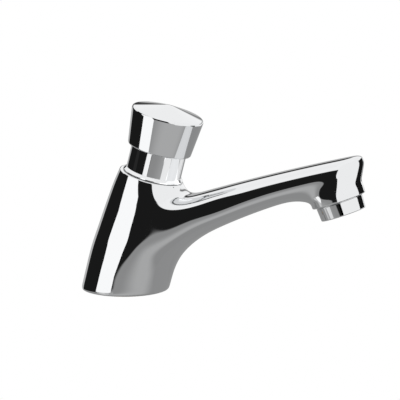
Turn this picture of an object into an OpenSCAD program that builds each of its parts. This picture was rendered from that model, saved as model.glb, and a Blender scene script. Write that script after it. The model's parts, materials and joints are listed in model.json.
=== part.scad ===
// Push timed tap: a leaning cast body with its spout, a push button on a timing cartridge,
// an aerator in the outlet, and a threaded shank that a nut clamps under the deck.
// The origin is the middle of the foot on the deck, +Z is up and the spout points along +X.
// Head pieces are placed by their height on the head axis, which leans from the origin.
// Outlet pieces are placed by their height over the outlet boss, square to its face.

/* [Foot and column] */
// Diameter of the foot on the deck
foot_d = 48; // [46:0.5:54]
// Round at the foot's lower edge
foot_round = 1.5; // [1:0.25:2.5]
// Height of the straight band over the foot
foot_band = 4.5; // [3:0.5:8]
// Lean of the head axis from upright, towards the spout, in degrees
lean = 14.5; // [10:0.5:18]
// Height of the head's seat along its axis
seat_h = 65.2; // [63:0.2:70]
// Diameter of the column low down
column_low_d = 47.6; // [45:0.2:53]
// Diameter of the column at mid height
column_mid_d = 45.2; // [42:0.2:50]
// Diameter of the column's upper part
column_high_d = 41.4; // [39:0.2:46]
// Diameter of the column at the spout's top line
column_top_d = 39.2; // [38:0.2:43]
// Diameter of the rim round the seat
rim_d = 35; // [34.4:0.2:39]
// Round of the rim
rim_round = 0.6; // [0.4:0.1:1.2]
// Diameter of the flat seat inside the rim
seat_d = 30.8; // [30.4:0.2:33]
// How far the rim sits behind the head axis
rim_back = 0.8; // [0:0.1:1]
// Height on the axis where the spout's underside leaves the column
arch_h = 22; // [18:0.5:25]
// Depth of the spout's top line below the seat, along the axis
shoulder_drop = 7; // [6:0.5:9]
// How far the column's flanks swell where they lead into the spout
flank_out = 5.5; // [4.5:0.25:6.5]

/* [Spout] */
// Reach from the foot's middle to the outlet's middle
outlet_x = 120.8; // [110:0.2:140]
// Height of the outlet boss over the deck
outlet_z = 55.3; // [52:0.1:59]
// Tilt of the outlet from straight down, in degrees
outlet_tilt = 20; // [15:0.5:25]
// Reach of the first section of the spout
root_x = 44; // [42:0.5:48]
// Height of the spout's top at that section
root_top = 55.4; // [54:0.2:58]
// Rise of the spout's top line, in degrees
spout_rise = 16.1; // [15:0.1:18]
// Crown of the top line over a straight one
spout_crown = 0.7; // [0:0.1:2]
// Thickness of the spout at its root
root_t = 23.6; // [22:0.2:28]
// Thickness of the spout near the outlet
tip_t = 15.6; // [15:0.2:19]
// Width of the spout at its root
root_w = 34; // [30:0.5:37]
// How much narrower the spout is than the boss, near the outlet
tip_tuck = 1.6; // [0.6:0.2:2.6]
// Squareness of the spout's section: 2 is an ellipse
section_power = 2.7; // [2:0.1:3.2]
// Wall of the boss round the aerator's thread
boss_wall = 2.6; // [2.2:0.1:3.2]
// How much wider the neck is than the boss
neck_flare = 0.4; // [0:0.1:1]
// Height of the neck over the boss face
neck_h = 4.5; // [3.5:0.25:6]
// Reach of the nose past the outlet's middle
nose_reach = 12.6; // [12:0.2:15]
// Length of the round between the top and the nose
nose_round = 2.8; // [2:0.2:4]
// Drop of the nose's edge below the top line
nose_drop = 1.4; // [0.5:0.1:2]
// How far the nose's lower edge sits back
nose_back = 1; // [0.5:0.1:2]
// Height of the nose's lower edge over the neck
nose_lip = 1.5; // [1:0.25:3]
// Bulge of the nose
nose_bulge = 0.7; // [0:0.1:1.5]
// Diameter of the waterway through the spout
waterway_d = 10; // [7:0.5:10.5]

/* [Head] */
// Diameter of the sleeve that the button slides on
sleeve_d = 30; // [29.2:0.2:30]
// Diameter of the bead ring at the sleeve's foot
bead_d = 32.8; // [32.2:0.2:33.4]
// Height of the bead ring over its gasket
bead_t = 1.5; // [1:0.1:2]
// Height of the bead ring's straight edge, below its slope
bead_edge = 0.45; // [0.3:0.05:0.6]
// Gap between the bead ring's edge and the seat
bead_lift = 0.15; // [0.1:0.05:0.3]
// Thickness of the gasket under the bead ring
head_gasket_t = 0.7; // [0.5:0.1:1]
// Diameter of the sleeve's thread in the body
head_thread_d = 28; // [27.4:0.2:28.4]
// Bore of the sleeve
sleeve_bore_d = 23; // [22.4:0.2:23.6]
// Length of the stem's guide bush
bush_len = 10; // [8:0.5:12]
// Height of the bush's top over the seat
bush_rise = 6.3; // [5:0.1:7]
// Thickness of the rib between the bush and the timing chamber
rib_t = 1.5; // [1:0.1:2.5]
// Bore of the timing cylinder
cylinder_bore_d = 19; // [18.4:0.2:19.4]
// Thickness of the piston
piston_t = 6; // [5.5:0.25:7]
// Depth of the chamber left over the piston at rest
chamber_rest = 1; // [0.6:0.1:2]
// Height of the carrier's windows
window_h = 3; // [2.5:0.25:5]
// Length of the carrier's nose in the body
carrier_nose = 8; // [7:0.25:10]
// Diameter of the carrier's nose
carrier_d = 19.8; // [19.2:0.2:20]
// Diameter of the hole in the valve seat
valve_hole_d = 11; // [9:0.5:11.5]

/* [Button and stem] */
// How far the button travels
travel = 10; // [6:0.5:10]
// Gap between the bead ring and the button
button_gap = 12.7; // [11.5:0.1:15]
// Diameter of the button's lower edge
button_low_d = 34.6; // [34.2:0.2:37]
// Diameter of the button's upper rim
button_top_d = 39.6; // [37:0.2:43]
// Height from the lower edge to the upper rim
button_h = 20.5; // [19.5:0.25:24]
// Height of the button's conical crown
crown_h = 4.6; // [2:0.2:6]
// Radius of the soft point in the middle of the crown
apex_round = 12; // [4:1:20]
// Round of the upper rim
button_rim_round = 1.4; // [0.8:0.1:2]
// Round of the lower edge
button_edge_round = 0.8; // [0.4:0.1:0.9]
// Thickness of the button's roof at the rim
button_roof = 2.1; // [1.8:0.1:3]
// Diameter of the stem
stem_d = 8; // [7:0.2:8.4]
// Diameter of the stem below the piston
stem_low_d = 6; // [5:0.2:6.2]
// Thread at the stem's foot
stem_foot_d = 5; // [4:0.2:5]
// Wire of the return spring
spring_wire = 1.3; // [1:0.1:1.4]
// Mean diameter of the return spring
spring_d = 12.8; // [12.4:0.2:13]
// Turns of the return spring
spring_turns = 6; // [4:1:7]

/* [Shank and clamp] */
// Diameter of the shank's pipe thread
shank_d = 20.96; // [20.5:0.02:21.4]
// Bore of the shank
shank_bore_d = 16; // [14.5:0.25:16.5]
// Length of the shank below the deck face
shank_len = 48; // [44:1:70]
// Height that the shank goes into the body
shank_in = 9.5; // [7:0.25:9.5]
// Thickness of the deck that the tap is clamped to
deck_t = 20; // [10:1:22]
// How far the clamping washers reach past the shank
clamp_reach = 9.5; // [7:0.5:12]
// Width of the ring gasket under the foot
base_gasket_w = 3.8; // [3:0.1:5]
// Distance of that gasket from the foot's edge
base_gasket_inset = 3.2; // [2.8:0.1:4]
// Width across flats of the back nut
back_nut_w = 30; // [28:0.5:34]
// Thickness of the back nut
back_nut_t = 8; // [6:0.5:10]

/* [Aerator] */
// Diameter of the aerator's thread
aerator_thread_d = 24; // [23.4:0.1:24.2]
// Step of the aerator's shoulder past its thread
aerator_shoulder = 0.6; // [0.4:0.1:1.2]
// Taper of the aerator from its shoulder to its mouth
aerator_taper = 0.5; // [0.2:0.1:0.8]
// Length of the aerator below the boss
aerator_len = 7.4; // [6:0.2:9]
// Length of the aerator's thread
aerator_thread = 6; // [5:0.25:7]
// Wall of the aerator's housing at its thread
aerator_wall = 1.5; // [1.2:0.1:1.8]

/* [Clearances] */
// Radial room of the button round the sleeve
skirt_gap = 0.3; // [0.2:0.05:0.4]
// Radial room of the stem in its bush
running_gap = 0.05; // [0.02:0.01:0.08]
// Radial room of a still piece in its hole
seat_gap = 0.05; // [0.02:0.01:0.1]
// Room at the ends of the travel
end_gap = 0.6; // [0.4:0.1:0.8]

/* [Hidden] */
$fn = 48;

// Colours
chrome = "#c9ccd0";
brass = "#b89a55";
steel = "#9aa0a6";
rubber = "#26282a";
acetal = "#e8e6de";

// Heights on the head axis, from the seat upwards
bead_low = seat_h + head_gasket_t;
bead_top = bead_low + bead_t;
button_low = bead_top + button_gap;
button_rim = button_low + button_h;
ceiling = button_rim - button_roof;
sleeve_top = ceiling - travel - end_gap;
hub_len = 8;
hub_low = ceiling - hub_len;
lock_nut_t = 3.2;
lock_nut_low = hub_low - lock_nut_t;
stem_bite = 8.5;
stem_top = hub_low + stem_bite;

// Heights on the head axis, from the bush downwards
bush_top = seat_h + bush_rise;
bush_low = bush_top - bush_len;
clip_t = 1;
cylinder_top = bush_low - rib_t;
spigot_bite = 8;
spigot_low = cylinder_top - spigot_bite;
piston_top = cylinder_top - chamber_rest;
piston_low = piston_top - piston_t;
cylinder_low = piston_low - travel - end_gap;
carrier_ring_t = 1.5;
window_top = cylinder_low - carrier_ring_t;
window_low = window_top - window_h;
carrier_flange_t = 2;
step_h = window_low - carrier_flange_t;
carrier_low = step_h - carrier_nose;
carrier_plate_t = 2;
plate_top = carrier_low + carrier_plate_t;
seat_lip_t = 0.8;
seat_lip_low = carrier_low - seat_lip_t;
washer_gap = 0.1;
washer_top = seat_lip_low - washer_gap;
washer_t = 2.9;
holder_top = washer_top - washer_t;
holder_t = 1.6;
holder_low = holder_top - holder_t;
valve_nut_t = 4;
valve_nut_low = holder_low - valve_nut_t;
stem_foot_out = 0.8;
stem_low = valve_nut_low - stem_foot_out;

// Radii of the head's pieces
sleeve_r = sleeve_d / 2;
sleeve_bore_r = sleeve_bore_d / 2;
head_thread_r = head_thread_d / 2;
chamber_r = head_thread_r - 0.5;
cylinder_bore_r = cylinder_bore_d / 2;
cylinder_r = sleeve_bore_r - seat_gap;
carrier_r = carrier_d / 2;
carrier_bore_r = spring_d / 2 + spring_wire / 2 + 0.35;
stem_r = stem_d / 2;
stem_low_r = stem_low_d / 2;
stem_foot_r = stem_foot_d / 2;
hub_thread_r = stem_r - 1;
hub_r = hub_thread_r + 2.5;
lock_nut_w = 2 * hub_thread_r + 4;
valve_nut_w = 2 * stem_foot_r + 3;
piston_r = cylinder_bore_r - 0.3;
valve_r = valve_hole_d / 2 + 1.9;
inlet_room = 2.1;
inlet_r = valve_r + inlet_room;
piston_clip_r = 5;

// Outlet sizes, from the aerator's thread
boss_d = aerator_thread_d + 2 * boss_wall;
neck_d = boss_d + neck_flare;
tip_w = boss_d - tip_tuck;

// Outlet heights over the boss face
aerator_gap = 0.25;
aerator_gasket_t = 1.8;
outlet_depth = aerator_thread + aerator_gasket_t + 0.2;
outlet_room = 6;
waterway_h = outlet_depth + outlet_room - 0.5;
aerator_thread_r = aerator_thread_d / 2;
aerator_bore_r = aerator_thread_r - aerator_wall;
aerator_lip_t = 2;
screen_t = 0.6;

// Shank and clamp
shank_r = shank_d / 2;
shank_bore_r = shank_bore_d / 2;
clamp_gasket_t = 3;
clamp_gap = 0.3;
clamp_washer_t = 2;
clamp_low = -deck_t - clamp_gasket_t - clamp_washer_t;
nut_low = clamp_low - back_nut_t;
relief_h = 1.5;
relief_depth = 0.8;
base_gasket_t = 1.5;
base_gasket_out = foot_d / 2 - base_gasket_inset;
base_gasket_in = base_gasket_out - base_gasket_w;

// Control cage of the casting: rings of 16 points, closed up by smoothing
ring_n = 16;
ring_step = 360 / ring_n;
// Smoothing draws a ring of control points in by this much
ring_gain = 3 / (2 + cos(ring_step));

function clamp01(s) = min(max(s, 0), 1);
function mix(a, b, s) = a + (b - a) * s;
function total(list) = [for (x = list) 1] * list;

// A point round the head axis
function head_point(h, r, a, shift = 0, swell = 0, lift = 0) =
    let (
        t = lean * clamp01(h / seat_h),
        wide = r * ring_gain + swell,
        reach = wide * cos(a) + shift,
        high = h + lift
    )
    [high * sin(lean) + reach * cos(t), wide * sin(a), high * cos(lean) - reach * sin(t)];

// A point round the outlet axis
function outlet_point(v, r, a) = [
    outlet_x - v * sin(outlet_tilt) + r * cos(a) * cos(outlet_tilt),
    r * sin(a),
    outlet_z + v * cos(outlet_tilt) + r * cos(a) * sin(outlet_tilt)
];

// Rows of the column: height on the axis, radius, shift of the middle
shoulder_h = seat_h - shoulder_drop;
column_rows = [
    [0, foot_d / 2 - foot_round, 0],
    [0, foot_d / 2, 0],
    [foot_band, column_low_d / 2, 0],
    [arch_h, column_low_d / 2, 0],
    [mix(arch_h, shoulder_h, 0.25), column_mid_d / 2, 0],
    [mix(arch_h, shoulder_h, 0.5), (column_mid_d + column_high_d) / 4, 0],
    [mix(arch_h, shoulder_h, 0.75), column_high_d / 2, 0],
    [shoulder_h, column_top_d / 2, 0],
    [seat_h - rim_round, rim_d / 2, -rim_back],
    [seat_h, rim_d / 2, -rim_back],
    [seat_h, seat_d / 2, -rim_back]
];
column_n = len(column_rows);
// Flanks of the rows from the arch to the shoulder: swell and lift as shares of flank_out,
// by steps round from the spout's side
flank_first = 3;
flank_swell = [
    [0, 0.07, 0.18, 0.07, -0.05, 0.09],
    [0, 0.22, 0.8, 0.29, -0.05, 0.13],
    [0, 0.27, 1, 0.29, 0.05, 0.11],
    [0, 0.29, 1, 0.44, 0.15, 0.09],
    [0, 0.27, 0.67, 0.38, 0.09, 0]
];
flank_lift = [
    [0, 0, 0, 0, 0, 0],
    [0, 0, 0, 0, 0, 0],
    [0, 0, 0, 0, 0, 0],
    [0, 0, 0.4, 0.47, 0.05, 0],
    [0, 0.18, -0.49, -0.35, -0.04, 0]
];
function flank(table, j, i) =
    let (row = j - flank_first, side = min(i, ring_n - i))
    row < 0 || row >= len(table) || side >= len(table[0]) ? 0 : flank_out * table[row][side];
// The spout leaves the column between these rows, over four faces
root_index = 3;
shoulder_index = 7;

// Sections of the spout stand upright, and taper from the root to the outlet
function along(x) = (x - root_x) / (outlet_x - root_x);
function spout_top(x) =
    root_top + (x - root_x) * tan(spout_rise) + 4 * spout_crown * along(x) * (1 - along(x));
function spout_t(x) = tip_t + (root_t - tip_t) * pow(1 - clamp01(along(x)), 2);
function spout_half(x) = (tip_w + (root_w - tip_w) * pow(1 - clamp01(along(x)), 1.6)) / 2;
function squared(c) = sign(c) * pow(abs(c), 2 / section_power) * ring_gain;
// The nose is round in plan
nose_x = outlet_x + nose_reach;
nose_r = tip_w / 2;
function nose_arc(y) = nose_x - nose_r + sqrt(max(nose_r * nose_r - y * y, 0));

// Rings 0 to 4 run along the spout, 5 to 9 stand over the neck, and 10 frames the nose
neck_index = 5;
last_neck_index = 9;
nose_index = 10;
edge_share = 0.9;
frame_share = 0.68;
neck_r = neck_d / 2 * ring_gain;
function neck_angle(k) = 135 - (k - neck_index) * ring_step;
function ring_x(k) =
    let (first = outlet_point(neck_h, neck_r, neck_angle(neck_index))[0])
    k < neck_index ? mix(root_x, first, k / neck_index) : outlet_point(neck_h, neck_r, neck_angle(k))[0];
function section_point(x, y, s) = [x, y, spout_top(x) + spout_t(x) / 2 * (squared(s) - 1)];
function frame_point(x, y, s) =
    let (
        high = spout_top(x) - nose_drop,
        low = outlet_point(neck_h, neck_r, 0)[2] + nose_lip
    )
    [x - nose_back * (1 - s) / 2, y, (high + low) / 2 + (high - low) / 2 * squared(s)];
function neck_point(k, q) =
    let (
        side = q == 8 ? neck_angle(k) : -neck_angle(k),
        back = 180 + (q - 10) * ring_step,
        front = (10 - q) * ring_step
    )
    outlet_point(neck_h, neck_r, k == neck_index ? back : k == last_neck_index ? front : side);
function on_neck(k, q) =
    k >= neck_index && k <= last_neck_index
    && (q == 8 || q == 12 || (q > 8 && q < 12 && (k == neck_index || k == last_neck_index)));
// Flanks of the first rings: how far they stand forward, out and up as shares of flank_out,
// by steps down from the second one beside the top
root_flank = [
    [[-0.07, 0.05, -0.05], [0, 0.24, 0.11], [0, 0.13, -0.04], [0, 0.2, 0]],
    [[0, 0.05, 0.04], [-0.04, -0.04, 0.05], [0, -0.05, -0.02], [0, 0.09, 0]],
    [[0, -0.04, -0.02], [0, -0.04, -0.02], [0, 0, 0], [0, 0.05, 0]]
];
function root_shift(k, q) =
    let (side = abs((q + 6) % ring_n - 8), out = q < 10 && q > 2 ? 1 : -1)
    k >= len(root_flank) || side < 2 || side > 5 ? [0, 0, 0]
    : let (f = root_flank[k][side - 2]) flank_out * [f[0], out * f[1], f[2]];
// Over the front of the boss the sides run straight down to it, by this share
wall_share = [0, 0, 0, 0, 0, 0, 0.15, 0.6, 1, 1, 0];
function spout_point(k, q) =
    let (
        place = plain_point(k, q),
        upper = plain_point(k, q == 7 ? 6 : 14),
        lower = plain_point(k, q == 7 ? 8 : 12),
        wall_y = (upper[1] + lower[1]) / 2
    )
    q == 7 || q == 13 ? [place[0], mix(place[1], wall_y, wall_share[k]), place[2]] + root_shift(k, q)
    : place + root_shift(k, q);
function plain_point(k, q) =
    let (
        c = cos(90 - (q - 2) * ring_step),
        s = sin(90 - (q - 2) * ring_step),
        x = ring_x(min(k, last_neck_index)),
        wide = spout_half(x) * squared(c),
        edge_y = wide * edge_share,
        frame_y = wide * frame_share
    )
    on_neck(k, q) ? neck_point(k, q)
    : k == nose_index ? frame_point(nose_arc(frame_y), frame_y, s)
    : k == last_neck_index ? section_point(nose_arc(edge_y) - nose_round * max(s, 0), edge_y, s)
    : section_point(x, wide, s);
function nose_point(row, c) =
    let (
        high = spout_point(nose_index, c),
        low = spout_point(nose_index, 12 - c),
        left = spout_point(nose_index, 16 - row),
        right = spout_point(nose_index, 4 + row),
        y = mix(left[1], right[1], c / 4)
    )
    [nose_arc(y) + nose_bulge - nose_back * (row - 1) / 2, y, mix(high[2], low[2], row / 4)];

// Places of the points in the cage's list
spout_at = column_n * ring_n;
nose_at = spout_at + (nose_index + 1) * ring_n;
boss_at = nose_at + 9;
function column_id(j, i) = j * ring_n + (i + ring_n) % ring_n;
function spout_id(k, q) = spout_at + k * ring_n + q % ring_n;
function boss_id(b, q) = boss_at + b * ring_n + q % ring_n;
function nose_id(row, c) =
    row == 0 ? spout_id(nose_index, c)
    : row == 4 ? spout_id(nose_index, 12 - c)
    : c == 0 ? spout_id(nose_index, 16 - row)
    : c == 4 ? spout_id(nose_index, 4 + row)
    : nose_at + (row - 1) * 3 + c - 1;

// Rims of the two gaps in the cage, in order
root_gap = [
    for (i = [-2:2]) column_id(shoulder_index, i),
    for (j = [shoulder_index - 1:-1:root_index]) column_id(j, 2),
    for (i = [1:-1:-2]) column_id(root_index, i),
    for (j = [root_index + 1:shoulder_index - 1]) column_id(j, -2)
];
neck_gap = [
    for (q = [8:12]) spout_id(neck_index, q),
    for (k = [neck_index + 1:last_neck_index]) spout_id(k, 12),
    for (q = [11:-1:8]) spout_id(last_neck_index, q),
    for (k = [last_neck_index - 1:-1:neck_index + 1]) spout_id(k, 8)
];

boss_step = 0.3;
function cage_points() = [
    for (j = [0:column_n - 1], i = [0:ring_n - 1])
        let (row = column_rows[j])
        head_point(row[0], row[1], i * ring_step, row[2], flank(flank_swell, j, i), flank(flank_lift, j, i)),
    for (k = [0:nose_index], q = [0:ring_n - 1]) spout_point(k, q),
    for (row = [1:3], c = [1:3]) nose_point(row, c),
    for (b = [0:1], q = [0:ring_n - 1])
        outlet_point(neck_h * boss_step * (1 - b), boss_d / 2 * ring_gain, 135 + q * ring_step)
];
function in_root_gap(j, i) = j >= root_index && j < shoulder_index && (i < 2 || i >= ring_n - 2);
function in_neck_gap(k, q) = k >= neck_index && k < last_neck_index && q >= 8 && q < 12;
function cage_faces() = [
    for (j = [0:column_n - 2], i = [0:ring_n - 1])
        if (!in_root_gap(j, i))
            [column_id(j, i), column_id(j + 1, i), column_id(j + 1, i + 1), column_id(j, i + 1)],
    for (q = [0:ring_n - 1])
        [root_gap[q], root_gap[(q + 1) % ring_n], spout_id(0, q + 1), spout_id(0, q)],
    for (k = [0:nose_index - 1], q = [0:ring_n - 1])
        if (!in_neck_gap(k, q))
            [spout_id(k, q), spout_id(k, q + 1), spout_id(k + 1, q + 1), spout_id(k + 1, q)],
    for (row = [0:3], c = [0:3])
        [nose_id(row, c), nose_id(row, c + 1), nose_id(row + 1, c + 1), nose_id(row + 1, c)],
    for (q = [0:ring_n - 1])
        [neck_gap[q], neck_gap[(q + 1) % ring_n], boss_id(0, q + 1), boss_id(0, q)],
    for (q = [0:ring_n - 1])
        [boss_id(0, q), boss_id(0, q + 1), boss_id(1, q + 1), boss_id(1, q)]
];

// Half edges of a mesh of quads: where each starts and ends, and which ones share an edge
function edge_starts(faces) = [for (f = faces) each f];
function edge_ends(faces) = [for (f = faces) each [f[1], f[2], f[3], f[0]]];
function edge_twins(starts, ends, n) =
    let (keys = [for (i = [0:len(starts) - 1]) min(starts[i], ends[i]) * n + max(starts[i], ends[i])])
    search(keys, keys, 2);
function before(i) = i - i % 4 + (i + 3) % 4;
function across(i) = i - i % 4 + (i + 2) % 4;
// Neighbours of a point along an open rim
function rim_mates(out, starts, ends, twins) = [
    for (i = out) if (len(twins[i]) == 1) ends[i],
    for (i = out) if (len(twins[before(i)]) == 1) starts[before(i)]
];

// One round of smoothing: every quad becomes four
function smoothed(pts, faces) =
    let (
        n = len(pts),
        starts = edge_starts(faces),
        ends = edge_ends(faces),
        twins = edge_twins(starts, ends, n),
        mids = [for (f = faces) total([for (v = f) pts[v]]) / 4],
        firsts = [for (i = [0:len(starts) - 1]) if (twins[i][0] == i) i],
        edge_of = search([for (t = twins) t[0]], firsts),
        edges = [
            for (i = firsts)
                let (ends_sum = pts[starts[i]] + pts[ends[i]], t = twins[i])
                len(t) == 1 ? ends_sum / 2 : (ends_sum + mids[floor(t[0] / 4)] + mids[floor(t[1] / 4)]) / 4
        ],
        outs = search([for (v = [0:n - 1]) v], starts, 0),
        moved = [
            for (v = [0:n - 1])
                let (p = pts[v], out = outs[v], k = len(out), rim = rim_mates(out, starts, ends, twins))
                k == 0 ? p
                : len(rim) == 2 ? (6 * p + pts[rim[0]] + pts[rim[1]]) / 8
                : (total([for (i = out) mids[floor(i / 4)] + p + pts[ends[i]]]) / k + (k - 3) * p) / k
        ],
        quads = [
            for (j = [0:len(faces) - 1], c = [0:3])
                let (i = 4 * j + c)
                [starts[i], n + edge_of[i], n + len(edges) + j, n + edge_of[before(i)]]
        ]
    )
    [concat(moved, edges, mids), quads];

// Moves every point to where endless smoothing would take it
function settled(pts, faces) =
    let (
        n = len(pts),
        starts = edge_starts(faces),
        ends = edge_ends(faces),
        twins = edge_twins(starts, ends, n),
        outs = search([for (v = [0:n - 1]) v], starts, 0)
    )
    [
        for (v = [0:n - 1])
            let (p = pts[v], out = outs[v], k = len(out), rim = rim_mates(out, starts, ends, twins))
            k == 0 ? p
            : len(rim) == 2 ? (4 * p + pts[rim[0]] + pts[rim[1]]) / 6
            : (k * k * p + total([for (i = out) 4 * pts[ends[i]] + pts[starts[across(i)]]])) / (k * (k + 5))
    ];

// The open rim that runs through a point, turned so that it closes the mesh
function rim_walk(v, first, from, to, list) =
    let (next = to[search(v, from)[0]])
    next == first ? [v, each list] : rim_walk(next, first, from, to, [v, each list]);
function rim_caps(faces, n, seeds) =
    let (
        starts = edge_starts(faces),
        ends = edge_ends(faces),
        twins = edge_twins(starts, ends, n),
        open = [for (i = [0:len(starts) - 1]) if (len(twins[i]) == 1) i],
        from = [for (i = open) starts[i]],
        to = [for (i = open) ends[i]]
    )
    [for (v = seeds) rim_walk(v, v, from, to, [])];

// The casting's outside, closed flat at the foot, the seat and the outlet
module casting_skin() {
    cage = cage_points();
    mesh = smoothed(cage, cage_faces());
    pts = settled(mesh[0], mesh[1]);
    seeds = [column_id(0, 0), column_id(column_n - 1, 0), boss_id(1, 0)];
    polyhedron(pts, concat(mesh[1], rim_caps(mesh[1], len(pts), seeds)), convexity = 8);
}

// Places a piece on the head axis
module on_head(h = 0) {
    rotate([0, lean, 0])
        translate([0, 0, h])
            children();
}

// Places a piece over the outlet boss
module on_outlet(v = 0) {
    translate([outlet_x, 0, outlet_z])
        rotate([0, -outlet_tilt, 0])
            translate([0, 0, v])
                children();
}

module tube(outer, inner, h) {
    difference() {
        cylinder(r = outer, h = h);
        translate([0, 0, -1])
            cylinder(r = inner, h = h + 2);
    }
}

module ring_seal(middle, section) {
    rotate_extrude()
        translate([middle, 0])
            circle(r = section, $fn = 24);
}

module hex_nut(across_flats, hole, h) {
    difference() {
        cylinder(d = across_flats / cos(30), h = h, $fn = 6);
        translate([0, 0, -1])
            cylinder(r = hole, h = h + 2);
    }
}

// Where the waterway starts on the head axis and ends on the outlet axis
way_from = [step_h * sin(lean), step_h * cos(lean)];
way_to = [outlet_x - waterway_h * sin(outlet_tilt), outlet_z + waterway_h * cos(outlet_tilt)];
way_rise = atan2(way_to[1] - way_from[1], way_to[0] - way_from[0]);
way_len = norm(way_to - way_from);
way_start = chamber_r * 0.85;

module waterway() {
    translate([way_from[0], 0, way_from[1]])
        rotate([0, 90 - way_rise, 0])
            translate([0, 0, way_start])
                cylinder(d = waterway_d, h = way_len - way_start);
}

stem_seal_r = 1.1;
shank_seal_r = 0.8;
shank_seal_z = 2;

module body_bores() {
    on_head(spigot_low - end_gap)
        cylinder(r = head_thread_r, h = seat_h - spigot_low + 5);
    on_head(step_h)
        cylinder(r = chamber_r, h = spigot_low - step_h);
    on_head(carrier_low - 0.1)
        cylinder(r = carrier_r + seat_gap * 2, h = carrier_nose + 1);
    on_head(shank_in)
        cylinder(r = inlet_r, h = carrier_low - shank_in);
    // The shank's hole goes on past the lowered edge of the leaning chamber
    translate([0, 0, -1])
        cylinder(r = shank_r + seat_gap, h = 1 + shank_in + inlet_r * sin(lean));
    translate([0, 0, shank_seal_z - shank_seal_r - seat_gap])
        cylinder(r = shank_r + seat_gap * 2 + shank_seal_r * 2, h = (shank_seal_r + seat_gap) * 2);
    difference() {
        translate([0, 0, -1])
            cylinder(r = base_gasket_out + seat_gap, h = base_gasket_t + 1);
        translate([0, 0, -2])
            cylinder(r = base_gasket_in - seat_gap, h = base_gasket_t + 4);
    }
    waterway();
    on_outlet(-1)
        cylinder(r = aerator_thread_r + seat_gap, h = outlet_depth + 1);
    on_outlet(outlet_depth - 1)
        cylinder(r = aerator_bore_r - 1.5, h = outlet_room + 1);
}

module tap_body() {
    color(chrome)
        difference() {
            casting_skin();
            body_bores();
        }
}

// Outline of the button from the middle of its crown round to its roof inside
module button_outline() {
    low_r = button_low_d / 2;
    top_r = button_top_d / 2;
    skirt_r = sleeve_r + skirt_gap;
    flare = atan2(top_r - low_r, button_h);
    slope = atan2(crown_h, top_r);
    turn = 90 - slope - flare;
    side = button_rim_round / tan((180 - turn) / 2);
    apex_z = button_rim + crown_h - apex_round / cos(slope);
    union() {
        polygon([
            [0, ceiling],
            [skirt_r, ceiling],
            [skirt_r, button_low],
            [low_r - button_edge_round, button_low],
            [low_r + button_edge_round * sin(flare) * 0.5, button_low + button_edge_round],
            [top_r - side * sin(flare), button_rim - side * cos(flare)],
            [top_r - side * cos(slope), button_rim + side * sin(slope)],
            for (a = [4:-1:0])
                [apex_round * sin(slope * a / 4), apex_z + apex_round * cos(slope * a / 4)]
        ]);
        // The round edges lie against the straight sides
        translate([low_r - button_edge_round, button_low + button_edge_round])
            circle(r = button_edge_round);
        translate([
            top_r - side * sin(flare) - button_rim_round * cos(flare),
            button_rim - side * cos(flare) + button_rim_round * sin(flare)
        ])
            circle(r = button_rim_round);
    }
}

module push_button() {
    color(chrome)
        on_head()
            difference() {
                union() {
                    rotate_extrude($fn = 96)
                        button_outline();
                    translate([0, 0, hub_low])
                        cylinder(r = hub_r, h = hub_len + 1);
                }
                translate([0, 0, hub_low - 1])
                    cylinder(r = hub_thread_r + seat_gap, h = stem_bite + 1.3);
            }
}

module lock_nut() {
    color(brass)
        on_head(lock_nut_low)
            hex_nut(lock_nut_w, hub_thread_r + seat_gap, lock_nut_t);
}

module stem() {
    clip_groove_r = stem_low_r - 0.7;
    color(steel)
        on_head()
            difference() {
                union() {
                    translate([0, 0, lock_nut_low])
                        cylinder(r = hub_thread_r, h = stem_top - lock_nut_low);
                    translate([0, 0, piston_top])
                        cylinder(r = stem_r, h = lock_nut_low - piston_top);
                    translate([0, 0, washer_top])
                        cylinder(r = stem_low_r, h = piston_top - washer_top);
                    translate([0, 0, stem_low])
                        cylinder(r = stem_foot_r, h = washer_top - stem_low);
                }
                translate([0, 0, piston_low - clip_t])
                    tube(stem_r, clip_groove_r, clip_t);
            }
}

// A sloping ring whose skirt stands round the gasket
module bead_ring() {
    edge_low = seat_h + bead_lift;
    rotate_extrude()
        polygon([
            [sleeve_bore_r, bead_low],
            [sleeve_r + seat_gap, bead_low],
            [sleeve_r + seat_gap, edge_low],
            [bead_d / 2, edge_low],
            [bead_d / 2, edge_low + bead_edge],
            [sleeve_r + 0.15, bead_top],
            [sleeve_bore_r, bead_top]
        ]);
}

module head_sleeve() {
    groove_r = sleeve_bore_r + 0.7;
    color(chrome)
        on_head()
            difference() {
                union() {
                    translate([0, 0, spigot_low])
                        cylinder(r = head_thread_r - seat_gap, h = bead_low - spigot_low + bead_t / 2);
                    bead_ring();
                    translate([0, 0, bead_low])
                        cylinder(r = sleeve_r, h = sleeve_top - bead_low);
                }
                translate([0, 0, bush_low])
                    cylinder(r = sleeve_bore_r, h = sleeve_top - bush_low + 1);
                translate([0, 0, cylinder_top - 1])
                    cylinder(r = cylinder_bore_r - 1, h = rib_t + 2);
                translate([0, 0, spigot_low - 1])
                    cylinder(r = sleeve_bore_r, h = spigot_bite + 1);
                translate([0, 0, bush_top])
                    cylinder(r = groove_r, h = clip_t + seat_gap * 2);
            }
}

module head_gasket() {
    color(rubber)
        on_head(seat_h)
            tube(sleeve_r - seat_gap, head_thread_r, head_gasket_t);
}

// Middle of the stem seal in the bush
stem_seal_h = bush_low + bush_len / 2;

module guide_bush() {
    color(acetal)
        on_head()
            difference() {
                translate([0, 0, bush_low])
                    cylinder(r = sleeve_bore_r - seat_gap, h = bush_len);
                translate([0, 0, bush_low - 1])
                    cylinder(r = stem_r + running_gap, h = bush_len + 2);
                translate([0, 0, stem_seal_h - stem_seal_r - seat_gap])
                    cylinder(r = stem_r + running_gap + stem_seal_r * 2 + seat_gap, h = (stem_seal_r + seat_gap) * 2);
            }
}

module stem_seal() {
    color(rubber)
        on_head(stem_seal_h)
            ring_seal(stem_r + running_gap + stem_seal_r, stem_seal_r);
}

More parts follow.
